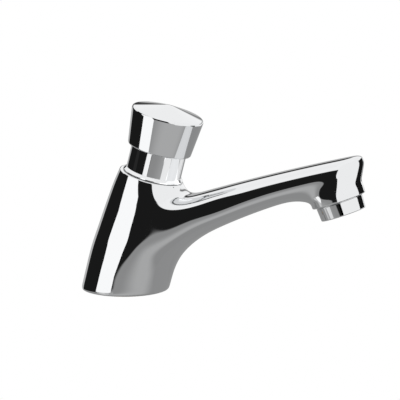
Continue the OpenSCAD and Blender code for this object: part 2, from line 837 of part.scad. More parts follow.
module bush_circlip() {
    opening = 5;
    color(steel)
        on_head(bush_top)
            difference() {
                tube(sleeve_bore_r + 0.6, sleeve_bore_r - 1.8, clip_t);
                translate([sleeve_bore_r, 0, 0])
                    cube([sleeve_bore_r, opening, 4 * clip_t], center = true);
            }
}

cylinder_seal_r = 0.55;
cylinder_seal_h = cylinder_top - spigot_bite / 2;
cylinder_groove_r = sleeve_bore_r - 2 * cylinder_seal_r - 2 * seat_gap;

module timing_cylinder() {
    color(acetal)
        on_head()
            difference() {
                translate([0, 0, cylinder_low])
                    tube(cylinder_r, cylinder_bore_r, cylinder_top - cylinder_low);
                translate([0, 0, cylinder_seal_h - cylinder_seal_r - seat_gap])
                    tube(sleeve_r, cylinder_groove_r, 2 * (cylinder_seal_r + seat_gap));
            }
}

module cylinder_seal() {
    color(rubber)
        on_head(cylinder_seal_h)
            ring_seal(cylinder_groove_r + seat_gap + cylinder_seal_r, cylinder_seal_r);
}

lip_seal_h = 2.4;
lip_low = piston_low + piston_t / 3;
lip_root_r = piston_r - 2;

module piston() {
    color(acetal)
        on_head()
            difference() {
                translate([0, 0, piston_low])
                    tube(piston_r, stem_low_r + seat_gap, piston_t);
                translate([0, 0, lip_low - seat_gap])
                    tube(cylinder_bore_r, lip_root_r, lip_seal_h + 2 * seat_gap);
            }
}

module piston_seal() {
    lip_r = cylinder_bore_r - 0.08;
    foot_r = lip_root_r + seat_gap;
    color(rubber)
        on_head(lip_low)
            rotate_extrude()
                polygon([
                    [foot_r, 0],
                    [lip_r - 0.8, 0],
                    [lip_r, lip_seal_h * 0.7],
                    [lip_r, lip_seal_h],
                    [lip_r - 0.6, lip_seal_h],
                    [lip_r - 1.3, lip_seal_h * 0.45],
                    [foot_r, lip_seal_h * 0.45]
                ]);
}

module piston_clip() {
    color(steel)
        on_head(piston_low - clip_t + seat_gap)
            difference() {
                tube(piston_clip_r, stem_low_r - 0.65, clip_t - 2 * seat_gap);
                translate([piston_clip_r, 0, 0])
                    cube([2 * piston_clip_r, stem_low_d - 1.3, 4 * clip_t], center = true);
            }
}

// The spring's middle line: closed end turns and open ones between
spring_len = piston_low - plate_top;
spring_sides = 6;
spring_rings = 8 * spring_turns;
spring_end_gap = 0.05;
spring_free = spring_len - spring_wire - 2 * spring_end_gap;
function spring_rise(s) = spring_wire / 2 + spring_end_gap + spring_free * (s - sin(360 * s) / (2 * PI) * 0.45);
function spring_at(s) =
    let (a = 360 * spring_turns * s)
    [spring_d / 2 * cos(a), spring_d / 2 * sin(a), spring_rise(s)];
spring_points = [
    for (k = [0:spring_rings], i = [0:spring_sides - 1])
        let (
            s = k / spring_rings,
            a = 360 * spring_turns * s,
            b = 360 * i / spring_sides,
            out = spring_wire / 2 * cos(b)
        )
        spring_at(s) + [out * cos(a), out * sin(a), spring_wire / 2 * sin(b)]
];
spring_faces = [
    [for (i = [0:spring_sides - 1]) i],
    for (k = [0:spring_rings - 1], i = [0:spring_sides - 1])
        let (a = k * spring_sides + i, b = k * spring_sides + (i + 1) % spring_sides)
        each [[a, a + spring_sides, b], [b, a + spring_sides, b + spring_sides]],
    [for (i = [spring_sides - 1:-1:0]) spring_rings * spring_sides + i]
];

module return_spring() {
    color(steel)
        on_head(plate_top)
            polyhedron(spring_points, spring_faces);
}

carrier_seal_r = 0.6;
carrier_seal_h = mix(carrier_low, step_h, 0.55);
carrier_groove_r = carrier_r - 2 * carrier_seal_r;

module seat_carrier() {
    window_w = carrier_bore_r * 1.6;
    color(brass)
        on_head()
            difference() {
                union() {
                    translate([0, 0, carrier_low])
                        cylinder(r = carrier_r, h = carrier_nose);
                    translate([0, 0, step_h])
                        cylinder(r = chamber_r - 0.8, h = carrier_flange_t);
                    translate([0, 0, step_h])
                        cylinder(r = cylinder_r, h = cylinder_low - step_h);
                    translate([0, 0, seat_lip_low])
                        cylinder(r = valve_hole_d / 2 + 1.2, h = seat_lip_t + 0.5);
                }
                translate([0, 0, plate_top])
                    cylinder(r = carrier_bore_r, h = cylinder_low);
                translate([0, 0, seat_lip_low - 1])
                    cylinder(d = valve_hole_d, h = carrier_plate_t + 4);
                translate([0, 0, carrier_seal_h - carrier_seal_r - seat_gap])
                    tube(chamber_r, carrier_groove_r, 2 * (carrier_seal_r + seat_gap));
                for (a = [45, 135])
                    rotate([0, 0, a])
                        translate([0, 0, window_low + window_h / 2])
                            cube([4 * sleeve_r, window_w, window_h], center = true);
            }
}

module carrier_seal() {
    color(rubber)
        on_head(carrier_seal_h)
            ring_seal(carrier_groove_r + seat_gap + carrier_seal_r, carrier_seal_r);
}

module valve_holder() {
    color(brass)
        on_head(holder_low)
            tube(valve_r + 0.2, stem_foot_r + seat_gap, holder_t);
}

module valve_washer() {
    color(rubber)
        on_head(holder_top)
            tube(valve_r, stem_foot_r + seat_gap, washer_t);
}

module valve_nut() {
    color(brass)
        on_head(valve_nut_low)
            hex_nut(valve_nut_w, stem_foot_r + seat_gap, valve_nut_t);
}

module inlet_shank() {
    relief_z = nut_low - relief_h;
    color(brass)
        difference() {
            translate([0, 0, -shank_len])
                tube(shank_r, shank_bore_r, shank_len + shank_in);
            translate([0, 0, relief_z])
                tube(shank_r + 1, shank_r - relief_depth, relief_h);
        }
}

module shank_seal() {
    color(rubber)
        translate([0, 0, shank_seal_z])
            ring_seal(shank_r + seat_gap + shank_seal_r, shank_seal_r);
}

module inlet_filter() {
    filter_r = shank_bore_r - seat_gap;
    filter_len = 8;
    mesh_t = 1;
    hole_d = 1.6;
    pitch = 2.4;
    color(steel)
        translate([0, 0, 1 - shank_len])
            difference() {
                cylinder(r = filter_r, h = filter_len);
                translate([0, 0, -1])
                    cylinder(r = filter_r - 1, h = filter_len - mesh_t + 1);
                for (i = [-2:2], j = [-2:2])
                    translate([pitch * (i + j / 2), pitch * j * sin(60), 0])
                        if (norm([i + j / 2, j * sin(60)]) * pitch < filter_r - 1 - hole_d / 2)
                            cylinder(d = hole_d, h = filter_len + 1, $fn = 16);
            }
}

module base_gasket() {
    color(rubber)
        tube(base_gasket_out, base_gasket_in, base_gasket_t);
}

module clamp_gasket() {
    color(rubber)
        translate([0, 0, -deck_t - clamp_gasket_t])
            tube(shank_r + clamp_reach, shank_r + clamp_gap, clamp_gasket_t);
}

module clamp_washer() {
    color(steel)
        translate([0, 0, clamp_low])
            tube(shank_r + clamp_reach, shank_r + clamp_gap, clamp_washer_t);
}

module back_nut() {
    color(brass)
        translate([0, 0, nut_low])
            hex_nut(back_nut_w, shank_r + seat_gap, back_nut_t);
}

module aerator_housing() {
    top_r = aerator_thread_r + aerator_shoulder;
    low_r = top_r - aerator_taper;
    edge = 0.5;
    color(chrome)
        on_outlet()
            rotate_extrude($fn = 96)
                polygon([
                    [aerator_bore_r, aerator_thread],
                    [aerator_thread_r, aerator_thread],
                    [aerator_thread_r, -aerator_gap],
                    [top_r - edge, -aerator_gap],
                    [top_r, -aerator_gap - edge],
                    [low_r, edge - aerator_len],
                    [low_r - edge, -aerator_len],
                    [aerator_bore_r - 1, -aerator_len],
                    [aerator_bore_r - 1, aerator_lip_t - aerator_len],
                    [aerator_bore_r, aerator_lip_t - aerator_len]
                ]);
}

module aerator_gasket() {
    color(rubber)
        on_outlet(aerator_thread)
            tube(aerator_thread_r - 0.1, aerator_bore_r - 1.2, aerator_gasket_t);
}

screen_low = aerator_lip_t - aerator_len;
insert_low = screen_low + screen_t;

// Holes on a triangular pitch inside a circle
module hole_field(radius, pitch, hole_d, h) {
    reach = ceil(radius / pitch) + 1;
    for (i = [-reach:reach], j = [-reach:reach])
        if (norm([i + j / 2, j * sin(60)]) * pitch < radius - hole_d / 2)
            translate([pitch * (i + j / 2), pitch * j * sin(60), -1])
                cylinder(d = hole_d, h = h + 2, $fn = 16);
}

module aerator_insert() {
    insert_r = aerator_bore_r - seat_gap;
    insert_h = aerator_thread - insert_low;
    cup_t = 4;
    color(acetal)
        on_outlet(insert_low)
            difference() {
                cylinder(r = insert_r, h = insert_h);
                translate([0, 0, cup_t])
                    cylinder(r = insert_r - 1.2, h = insert_h);
                hole_field(insert_r - 1.2, 3.4, 2.4, cup_t);
            }
}

module aerator_screen() {
    screen_r = aerator_bore_r - seat_gap;
    color(steel)
        on_outlet(screen_low)
            difference() {
                cylinder(r = screen_r, h = screen_t);
                hole_field(screen_r - 0.8, 2.3, 1.7, screen_t);
            }
}

tap_body();
push_button();
lock_nut();
stem();
head_sleeve();
head_gasket();
guide_bush();
stem_seal();
bush_circlip();
timing_cylinder();
cylinder_seal();
piston();
piston_seal();
piston_clip();
return_spring();
seat_carrier();
carrier_seal();
valve_holder();
valve_washer();
valve_nut();
inlet_shank();
shank_seal();
inlet_filter();
base_gasket();
clamp_gasket();
clamp_washer();
back_nut();
aerator_housing();
aerator_gasket();
aerator_insert();
aerator_screen();
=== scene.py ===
# Push timed tap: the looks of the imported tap, in metres, on the bodies of its CAD frame.
# The casting, button, sleeve, aerator ring, shank, nut and spring are modelled here and stand for
# their CAD nodes. The other nodes keep their CAD shape and get the finish of their material.
import json
import math

import bmesh
import bpy
from mathutils import Matrix, Vector


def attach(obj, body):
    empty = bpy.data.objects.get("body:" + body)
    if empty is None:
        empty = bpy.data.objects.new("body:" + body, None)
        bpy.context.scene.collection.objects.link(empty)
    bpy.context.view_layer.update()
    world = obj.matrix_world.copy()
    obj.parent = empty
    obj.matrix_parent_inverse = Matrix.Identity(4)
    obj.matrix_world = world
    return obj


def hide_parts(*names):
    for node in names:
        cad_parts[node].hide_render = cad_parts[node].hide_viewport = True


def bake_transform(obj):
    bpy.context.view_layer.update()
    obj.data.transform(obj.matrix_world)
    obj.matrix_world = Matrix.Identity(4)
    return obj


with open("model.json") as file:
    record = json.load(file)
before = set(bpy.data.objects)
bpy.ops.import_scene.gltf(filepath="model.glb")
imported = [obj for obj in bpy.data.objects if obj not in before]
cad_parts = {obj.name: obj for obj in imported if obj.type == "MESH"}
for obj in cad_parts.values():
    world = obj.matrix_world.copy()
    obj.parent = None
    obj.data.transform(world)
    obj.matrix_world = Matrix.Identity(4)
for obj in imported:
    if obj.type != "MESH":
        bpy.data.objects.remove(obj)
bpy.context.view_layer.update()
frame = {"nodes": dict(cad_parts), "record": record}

MM = 0.001
TURN = 2 * math.pi
TURNED_STEPS = 128

# Sizes in millimetres, as in the part's source
LEAN = math.radians(14.5)
SEAT_H = 65.2
OUTLET = Vector((120.8, 0, 55.3))
TILT = math.radians(20)
HEAD_PLACE = Matrix.Rotation(LEAN, 4, "Y")
OUTLET_PLACE = Matrix.Translation(OUTLET) @ Matrix.Rotation(-TILT, 4, "Y")


def linear(hex_colour):
    """A linear colour with alpha from an sRGB hex value."""
    parts = [int(hex_colour[i:i + 2], 16) / 255 for i in (1, 3, 5)]
    return tuple(p / 12.92 if p <= 0.04045 else ((p + 0.055) / 1.055) ** 2.4 for p in parts) + (1.0,)


def add_node(tree, kind, inputs=None, **settings):
    """Adds a node with its settings; inputs hold values, or the sockets that link to them."""
    node = tree.nodes.new(kind)
    for name, value in settings.items():
        setattr(node, name, value)
    for name, value in (inputs or {}).items():
        if isinstance(value, bpy.types.NodeSocket):
            tree.links.new(value, node.inputs[name])
        else:
            node.inputs[name].default_value = value
    return node


def new_material(name):
    """An empty material, its node tree and its output."""
    material = bpy.data.materials.new(name)
    material.use_nodes = True
    tree = material.node_tree
    tree.nodes.clear()
    return material, tree, add_node(tree, "ShaderNodeOutputMaterial")


def per_mm(size):
    """Noise scale, in patterns per metre, for a pattern of that size in millimetres."""
    return 1 / (size * MM)


# Materials

def chrome_plating():
    """Bright chrome on polished brass: a mirror, with the slight waves that a polishing wheel leaves."""
    material, tree, output = new_material("chrome_plating")
    place = add_node(tree, "ShaderNodeTexCoord").outputs["Object"]
    # Waves about 9 mm long, far too shallow to see except in the reflections
    waves = add_node(tree, "ShaderNodeTexNoise", {"Vector": place, "Scale": per_mm(9), "Detail": 1.0})
    bump = add_node(tree, "ShaderNodeBump", {
        "Strength": 0.02, "Distance": 0.02 * MM, "Height": waves.outputs["Fac"]})
    # Dried drops and wiping leave patches about 14 mm wide that are a little duller
    wiped = add_node(tree, "ShaderNodeTexNoise", {"Vector": place, "Scale": per_mm(14), "Detail": 4.0})
    rough = add_node(tree, "ShaderNodeMapRange", {
        "Value": wiped.outputs["Fac"], "From Min": 0.4, "From Max": 0.8, "To Min": 0.02, "To Max": 0.05})
    shader = add_node(tree, "ShaderNodeBsdfPrincipled", {
        "Base Color": linear("#e2e3e4"), "Metallic": 1.0, "Roughness": rough.outputs["Result"],
        "Normal": bump.outputs["Normal"]})
    tree.links.new(shader.outputs["BSDF"], output.inputs["Surface"])
    return material


def turned_metal(name, pale, deep, roughness, ridge_mm):
    """Turned or drawn metal: fine tool lines, and tarnish in soft patches."""
    material, tree, output = new_material(name)
    place = add_node(tree, "ShaderNodeTexCoord").outputs["Object"]
    patches = add_node(tree, "ShaderNodeTexNoise", {"Vector": place, "Scale": per_mm(6), "Detail": 5.0})
    tint = add_node(tree, "ShaderNodeMix", {
        "Factor": patches.outputs["Fac"], 6: linear(deep), 7: linear(pale)}, data_type="RGBA")
    # Tool lines run round the piece, so they change quickly along Z and slowly across
    lines = add_node(tree, "ShaderNodeMapping", {"Vector": place, "Scale": (0.15, 0.15, 1.0)})
    ridges = add_node(tree, "ShaderNodeTexNoise", {
        "Vector": lines.outputs["Vector"], "Scale": per_mm(ridge_mm), "Detail": 2.0})
    bump = add_node(tree, "ShaderNodeBump", {
        "Strength": 0.25, "Distance": 0.03 * MM, "Height": ridges.outputs["Fac"]})
    rough = add_node(tree, "ShaderNodeMapRange", {
        "Value": patches.outputs["Fac"], "From Min": 0.3, "From Max": 0.7,
        "To Min": roughness * 0.8, "To Max": roughness * 1.3})
    shader = add_node(tree, "ShaderNodeBsdfPrincipled", {
        "Base Color": tint.outputs[2], "Metallic": 1.0, "Roughness": rough.outputs["Result"],
        "Normal": bump.outputs["Normal"]})
    tree.links.new(shader.outputs["BSDF"], output.inputs["Surface"])
    return material


def moulded(name, pale, deep, roughness, grain_mm, ior):
    """A moulded polymer: a fine grain from the mould, and a little unevenness of colour."""
    material, tree, output = new_material(name)
    place = add_node(tree, "ShaderNodeTexCoord").outputs["Object"]
    cloud = add_node(tree, "ShaderNodeTexNoise", {"Vector": place, "Scale": per_mm(5), "Detail": 3.0})
    tint = add_node(tree, "ShaderNodeMix", {
        "Factor": cloud.outputs["Fac"], 6: linear(deep), 7: linear(pale)}, data_type="RGBA")
    grain = add_node(tree, "ShaderNodeTexNoise", {"Vector": place, "Scale": per_mm(grain_mm), "Detail": 2.0})
    bump = add_node(tree, "ShaderNodeBump", {
        "Strength": 0.3, "Distance": 0.05 * MM, "Height": grain.outputs["Fac"]})
    shader = add_node(tree, "ShaderNodeBsdfPrincipled", {
        "Base Color": tint.outputs[2], "Roughness": roughness, "IOR": ior, "Normal": bump.outputs["Normal"]})
    tree.links.new(shader.outputs["BSDF"], output.inputs["Surface"])
    return material


chrome = chrome_plating()
# Free-cutting brass as turned, with the first tarnish
brass = turned_metal("turned_brass", "#d9b56a", "#b98f48", 0.28, 0.25)
# Stainless steel rod and sheet, drawn
steel = turned_metal("drawn_stainless_steel", "#c9c9c6", "#a9aaa9", 0.25, 0.2)
# Black EPDM rubber with the bloom of new seals
rubber = moulded("epdm_rubber", "#2a2b2c", "#1a1b1c", 0.65, 0.4, 1.52)
# Natural acetal, milky white
acetal = moulded("natural_acetal", "#efede6", "#e3e0d6", 0.38, 0.5, 1.48)

SLOT_FINISH = {
    "chrome_plated_brass": chrome,
    "brass": brass,
    "stainless_steel": steel,
    "rubber": rubber,
    "acetal": acetal,
}
for part in frame["record"]["subparts"]:
    mesh = frame["nodes"][part["node"]].data
    mesh.materials.clear()
    mesh.materials.append(SLOT_FINISH[part["material_slot"]])


# Pieces

def finish_piece(name, bm, material, body, nodes, sharp=math.radians(35)):
    """Turns a bmesh in millimetres into a piece in metres that stands for CAD nodes.
    It rides on a body, unless it is given none."""
    bmesh.ops.scale(bm, vec=(MM, MM, MM), verts=bm.verts)
    for face in bm.faces:
        face.smooth = True
    for edge in bm.edges:
        edge.smooth = edge.calc_face_angle(0) < sharp
    mesh = bpy.data.meshes.new(name)
    bm.to_mesh(mesh)
    bm.free()
    mesh.materials.append(material)
    piece = bpy.data.objects.new(name, mesh)
    bpy.context.scene.collection.objects.link(piece)
    if body:
        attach(piece, body)
    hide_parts(*nodes)
    return piece


def turned(profile, place, closed=True):
    """A turned piece: a profile of (radius, height, round) corners, spun about its axis and put in place."""
    bm = bmesh.new()
    verts = [bm.verts.new((r, 0, h)) for r, h, _ in profile]
    for a, b in zip(verts, verts[1:] + verts[:1] if closed else verts[1:]):
        bm.edges.new((a, b))
    for vert, (_, _, corner) in zip(verts, profile):
        if corner:
            bmesh.ops.bevel(bm, geom=[vert], offset=corner, offset_type="OFFSET", segments=6, profile=0.5,
                            affect="VERTICES", material=-1)
    bmesh.ops.spin(bm, geom=bm.verts[:] + bm.edges[:], cent=(0, 0, 0), axis=(0, 0, 1), angle=TURN,
                   steps=TURNED_STEPS, use_merge=True)
    bmesh.ops.remove_doubles(bm, verts=bm.verts, dist=1e-4)
    bmesh.ops.recalc_face_normals(bm, faces=bm.faces)
    bmesh.ops.transform(bm, matrix=place, verts=bm.verts)
    return bm


def even_normals(piece):
    """Keeps flat faces flat beside their rounded edges."""
    weighted = piece.modifiers.new("even_normals", "WEIGHTED_NORMAL")
    weighted.keep_sharp = True
    return piece


# The casting's control cage: rings of 16 points that a subdivision surface makes smooth.
# The surface draws a ring in, so its points stand further out by the gain.
RING = 16
STEP = TURN / RING
GAIN = 3 / (2 + math.cos(STEP))


def ring_edges(bm, ring):
    """The edges of a closed ring of vertices, in order."""
    return [bm.edges.get((a, b)) for a, b in zip(ring, ring[1:] + ring[:1])]


def grow(bm, verts, edges, places):
    """Extrudes the edges between vertices to new places, and gives the new vertices in the same order."""
    geom = bmesh.ops.extrude_edge_only(bm, edges=edges)["geom"]
    fresh = {x for x in geom if isinstance(x, bmesh.types.BMVert)}
    grown = []
    for vert, place in zip(verts, places):
        twin = next(o for o in (e.other_vert(vert) for e in vert.link_edges) if o in fresh)
        twin.co = place
        grown.append(twin)
    return grown


def grow_ring(bm, ring, places):
    """Extrudes a closed ring of vertices to new places."""
    return grow(bm, ring, ring_edges(bm, ring), places)


def grow_row(bm, row, places):
    """Extrudes an open row of vertices to new places."""
    return grow(bm, row, [bm.edges.get((a, b)) for a, b in zip(row, row[1:])], places)


def column_ring(h, r, shift=0.0, swell=(), lift=()):
    """Places of a ring round the head axis, which turns from level at the deck to square at the seat.
    Swell and lift, from the spout's side round to the back, shape the flanks that lead into the spout."""
    turn = LEAN * min(max(h / SEAT_H, 0), 1)
    places = []
    for i in range(RING):
        side = min(i, RING - i)
        wide = r * GAIN + FLANK_OUT * (swell[side] if side < len(swell) else 0)
        reach = wide * math.cos(i * STEP) + shift
        high = h + FLANK_OUT * (lift[side] if side < len(lift) else 0)
        places.append(Vector((
            high * math.sin(LEAN) + reach * math.cos(turn),
            wide * math.sin(i * STEP),
            high * math.cos(LEAN) - reach * math.sin(turn))))
    return places


def outlet_point(v, r, angle):
    """A point round the outlet axis, at a height over the boss face."""
    return OUTLET_PLACE @ Vector((r * math.cos(angle), r * math.sin(angle), v))


# Column: swell and lift of its flanks by row, as shares of the flank's size, from the spout's side round
FLANK_OUT = 5.5
FLANK_SWELL = {
    3: (0, 0.07, 0.18, 0.07, -0.05, 0.09),
    4: (0, 0.22, 0.8, 0.29, -0.05, 0.13),
    5: (0, 0.27, 1, 0.29, 0.05, 0.11),
    6: (0, 0.29, 1, 0.44, 0.15, 0.09),
    7: (0, 0.27, 0.67, 0.38, 0.09, 0),
}
FLANK_LIFT = {
    6: (0, 0, 0.4, 0.47, 0.05, 0),
    7: (0, 0.18, -0.49, -0.35, -0.04, 0),
}
FOOT_R = 24.0
FOOT_ROUND = 1.5
WALL_R = 23.8
ARCH_H = 22.0
SHOULDER_H = 58.2
SHOULDER_RISE = SHOULDER_H - ARCH_H
RIM_R = 17.5
RIM_IN = 15.4
RIM_ROUND = 0.6
RIM_BACK = 0.8
# Rows from the foot up: height on the axis, radius and shift of the middle
COLUMN_ROWS = [
    (0, FOOT_R - FOOT_ROUND, 0),
    (0, FOOT_R, 0),
    (4.5, WALL_R, 0),
    (ARCH_H, WALL_R, 0),
    (ARCH_H + SHOULDER_RISE * 0.25, 22.6, 0),
    (ARCH_H + SHOULDER_RISE * 0.5, 21.65, 0),
    (ARCH_H + SHOULDER_RISE * 0.75, 20.7, 0),
    (SHOULDER_H, 19.6, 0),
    (SEAT_H - RIM_ROUND, RIM_R, -RIM_BACK),
    (SEAT_H, RIM_R, -RIM_BACK),
    (SEAT_H, RIM_IN, -RIM_BACK),
]
# The spout grows out between these rows
ROOT_ROW = 3
SHOULDER_ROW = 7

# Spout: its root, its rising top with a slight crown, its thickness and half width, and how square it is
ROOT_X = 44.0
ROOT_TOP = 55.4
RISE = math.tan(math.radians(16.1))
CROWN = 0.7
ROOT_T = 23.6
TIP_T = 15.6
ROOT_HALF = 17.0
TIP_HALF = 13.8
THIN_POWER = 2
NARROW_POWER = 1.6
SQUARE = 2.7
NECK_H = 4.5
NECK_R = 14.8
BOSS_R = 14.6
NOSE_X = 133.4
NOSE_ROUND = 2.8
NOSE_DROP = 1.4
NOSE_BACK = 1.0
NOSE_LIP = 1.5
NOSE_BULGE = 0.7
NOSE_SHARE = 0.68
NOSE_EDGE_SHARE = 0.9
# Its rings: the first and last one over the neck, and the nose's frame
NECK_K = 5
LAST_NECK_K = 9
NOSE_K = 10
NECK_START = math.radians(135)
# Rings 0 to 2: how far their sides stand forward, out and up, by steps round from the top
ROOT_FLANK = {
    0: {2: (-0.07, 0.05, -0.05), 3: (0, 0.24, 0.11), 4: (0, 0.13, -0.04), 5: (0, 0.2, 0)},
    1: {2: (0, 0.05, 0.04), 3: (-0.04, -0.04, 0.05), 4: (0, -0.05, -0.02), 5: (0, 0.09, 0)},
    2: {2: (0, -0.04, -0.02), 3: (0, -0.04, -0.02), 5: (0, 0.05, 0)},
}
# How far the sides over the boss run straight down to it, by ring
WALL = {6: 0.15, 7: 0.6, 8: 1.0, 9: 1.0}


def along(x):
    """How far along the spout, from 0 at its root to 1 at the outlet."""
    return (x - ROOT_X) / (OUTLET.x - ROOT_X)


def left_over(x):
    """What is left of the spout from there on, as a share."""
    return 1 - min(max(along(x), 0), 1)


def spout_top(x):
    """Height of the spout's top."""
    return ROOT_TOP + (x - ROOT_X) * RISE + 4 * CROWN * along(x) * (1 - along(x))


def spout_t(x):
    """Thickness of the spout."""
    return TIP_T + (ROOT_T - TIP_T) * left_over(x) ** THIN_POWER


def spout_half(x):
    """Half the width of the spout."""
    return TIP_HALF + (ROOT_HALF - TIP_HALF) * left_over(x) ** NARROW_POWER


def squared(c):
    """A sine or cosine on a section that is squarer than a circle."""
    return math.copysign(abs(c) ** (2 / SQUARE), c) * GAIN


def nose_arc(y):
    """How far the rounded nose reaches at a distance from the middle."""
    return NOSE_X - TIP_HALF + math.sqrt(max(TIP_HALF ** 2 - y ** 2, 0))


def neck_angle(k):
    """Where ring k stands over the neck, as an angle round the outlet."""
    return NECK_START - (k - NECK_K) * STEP


def neck_point(angle):
    """A point of the neck's upper end."""
    return outlet_point(NECK_H, NECK_R * GAIN, angle)


def ring_x(k):
    """Where ring k stands along the spout."""
    if k < NECK_K:
        return ROOT_X + (neck_point(NECK_START).x - ROOT_X) * k / NECK_K
    return neck_point(neck_angle(k)).x


def section_point(x, y, s):
    """A point of the spout's section, by its place across and the sine of its angle."""
    return Vector((x, y, spout_top(x) + spout_t(x) / 2 * (squared(s) - 1)))


def spout_point(k, q):
    """Point q of the spout's ring k, with point 2 on top. Rings 0 to 4 run along the spout,
    5 to 9 stand over the neck with points 8 to 12 on it, and 10 frames the nose."""
    if NECK_K <= k <= LAST_NECK_K:
        if q == 8 or q == 12:
            return neck_point(neck_angle(k) * (1 if q == 8 else -1))
        if 8 < q < 12 and k == NECK_K:
            return neck_point(math.pi + (q - 10) * STEP)
        if 8 < q < 12 and k == LAST_NECK_K:
            return neck_point((10 - q) * STEP)
    angle = TURN / 4 - (q - 2) * STEP
    c, s = math.cos(angle), math.sin(angle)
    x = ring_x(min(k, LAST_NECK_K))
    wide = spout_half(x) * squared(c)
    if k == NOSE_K:
        y = wide * NOSE_SHARE
        x = nose_arc(y)
        high = spout_top(x) - NOSE_DROP
        low = neck_point(0).z + NOSE_LIP
        return Vector((x - NOSE_BACK * (1 - s) / 2, y, (high + low) / 2 + (high - low) / 2 * squared(s)))
    if k == LAST_NECK_K:
        y = wide * NOSE_EDGE_SHARE
        place = section_point(nose_arc(y) - NOSE_ROUND * max(s, 0), y, s)
    else:
        place = section_point(x, wide, s)
    side = abs((q + 6) % RING - RING // 2)
    if side in ROOT_FLANK.get(k, {}):
        fore, out, rise = ROOT_FLANK[k][side]
        place += Vector((fore, out * math.copysign(1, c), rise)) * FLANK_OUT
    if q in (7, 13) and k in WALL:
        # Over the front of the boss the side runs straight down to it
        upper = spout_point(k, 6 if q == 7 else 14)
        lower = spout_point(k, 8 if q == 7 else 12)
        place.y += ((upper.y + lower.y) / 2 - place.y) * WALL[k]
    return place


# Boss under the neck and the aerator's hole in it: height over the boss face, radius, sharp or not
BOSS_ROUND = 0.45
HOLE_R = 12.1
HOLE_TOP = 8
OUTLET_R = 9
BOSS_ROWS = [
    (0.3 * NECK_H, BOSS_R, False),
    (BOSS_ROUND, BOSS_R, False),
    (0, BOSS_R - BOSS_ROUND, False),
    (0, 12.4, False),
    (0, HOLE_R, True),
    (HOLE_TOP, HOLE_R, True),
    (HOLE_TOP, OUTLET_R, True),
    (9.5, OUTLET_R, True),
]

# Holes in the casting, as radius and height. On the shank's axis, from the foot up:
# the gasket's groove, and the shank's hole with its seal's groove
SHANK_HOLE_R = 10.7
SHANK_SEAL_R = 12.2
FOOT_HOLE = [
    (20.9, 0), (20.9, 1.5), (16.9, 1.5), (16.9, 0),
    (SHANK_HOLE_R, 0), (SHANK_HOLE_R, 1.15), (SHANK_SEAL_R, 1.15), (SHANK_SEAL_R, 2.85), (SHANK_HOLE_R, 2.85),
    (SHANK_HOLE_R, 9.6),
]
# On the head's axis, from the seat down:
# the head's threaded hole, the chamber, the seat carrier's hole and the inlet
CHAMBER_R = 13.5
CHAMBER_LOW = 35.95
CARRIER_R = 10
CARRIER_LOW = 27.85
INLET_R = 9.5
SEAT_HOLE = [(14.05, SEAT_H), (14.05, 51.4), (CHAMBER_R, 51.4)]
CHAMBER_HOLE = [
    (CHAMBER_R, CHAMBER_LOW), (CARRIER_R, CHAMBER_LOW), (CARRIER_R, CARRIER_LOW), (INLET_R, CARRIER_LOW),
    (INLET_R, 13),
]
# The waterway leaves the chamber between these heights and bends down into the outlet: x, z, climb in degrees
WAY_TOP = 47.0
WAY_LOW = 37.0
WAY_ROWS = 6
WAY_R = 4.2
WAY_PATH = [(32, 39.7, 19), (68, 52.1, 19), (104.1, 64.6, 19), (110.3, 65.4, -25)]


def head_ring(r, h):
    """Places of a ring square to the head axis."""
    angles = [i * STEP for i in range(RING)]
    return [HEAD_PLACE @ Vector((r * GAIN * math.cos(a), r * GAIN * math.sin(a), h)) for a in angles]


def way_ring(x, z, rise):
    """Places of a ring across the waterway, where it climbs at an angle in degrees."""
    up = Vector((-math.sin(math.radians(rise)), 0, math.cos(math.radians(rise))))
    places = []
    for i in range(RING):
        angle = TURN / 4 - (i - 1) * STEP
        places.append(Vector((x, WAY_R * GAIN * math.cos(angle), z)) + up * (WAY_R * GAIN * math.sin(angle)))
    return places


def delete_between(bm, rings, rows, columns):
    """Opens a gap in a grid of rings, over those rows and columns of faces."""
    faces = []
    for k in rows:
        for q in columns:
            corners = {ring[i % RING] for ring in rings[k:k + 2] for i in (q, q + 1)}
            faces.append(next(f for f in rings[k][q % RING].link_faces if set(f.verts) == corners))
    bmesh.ops.delete(bm, geom=faces, context="FACES")


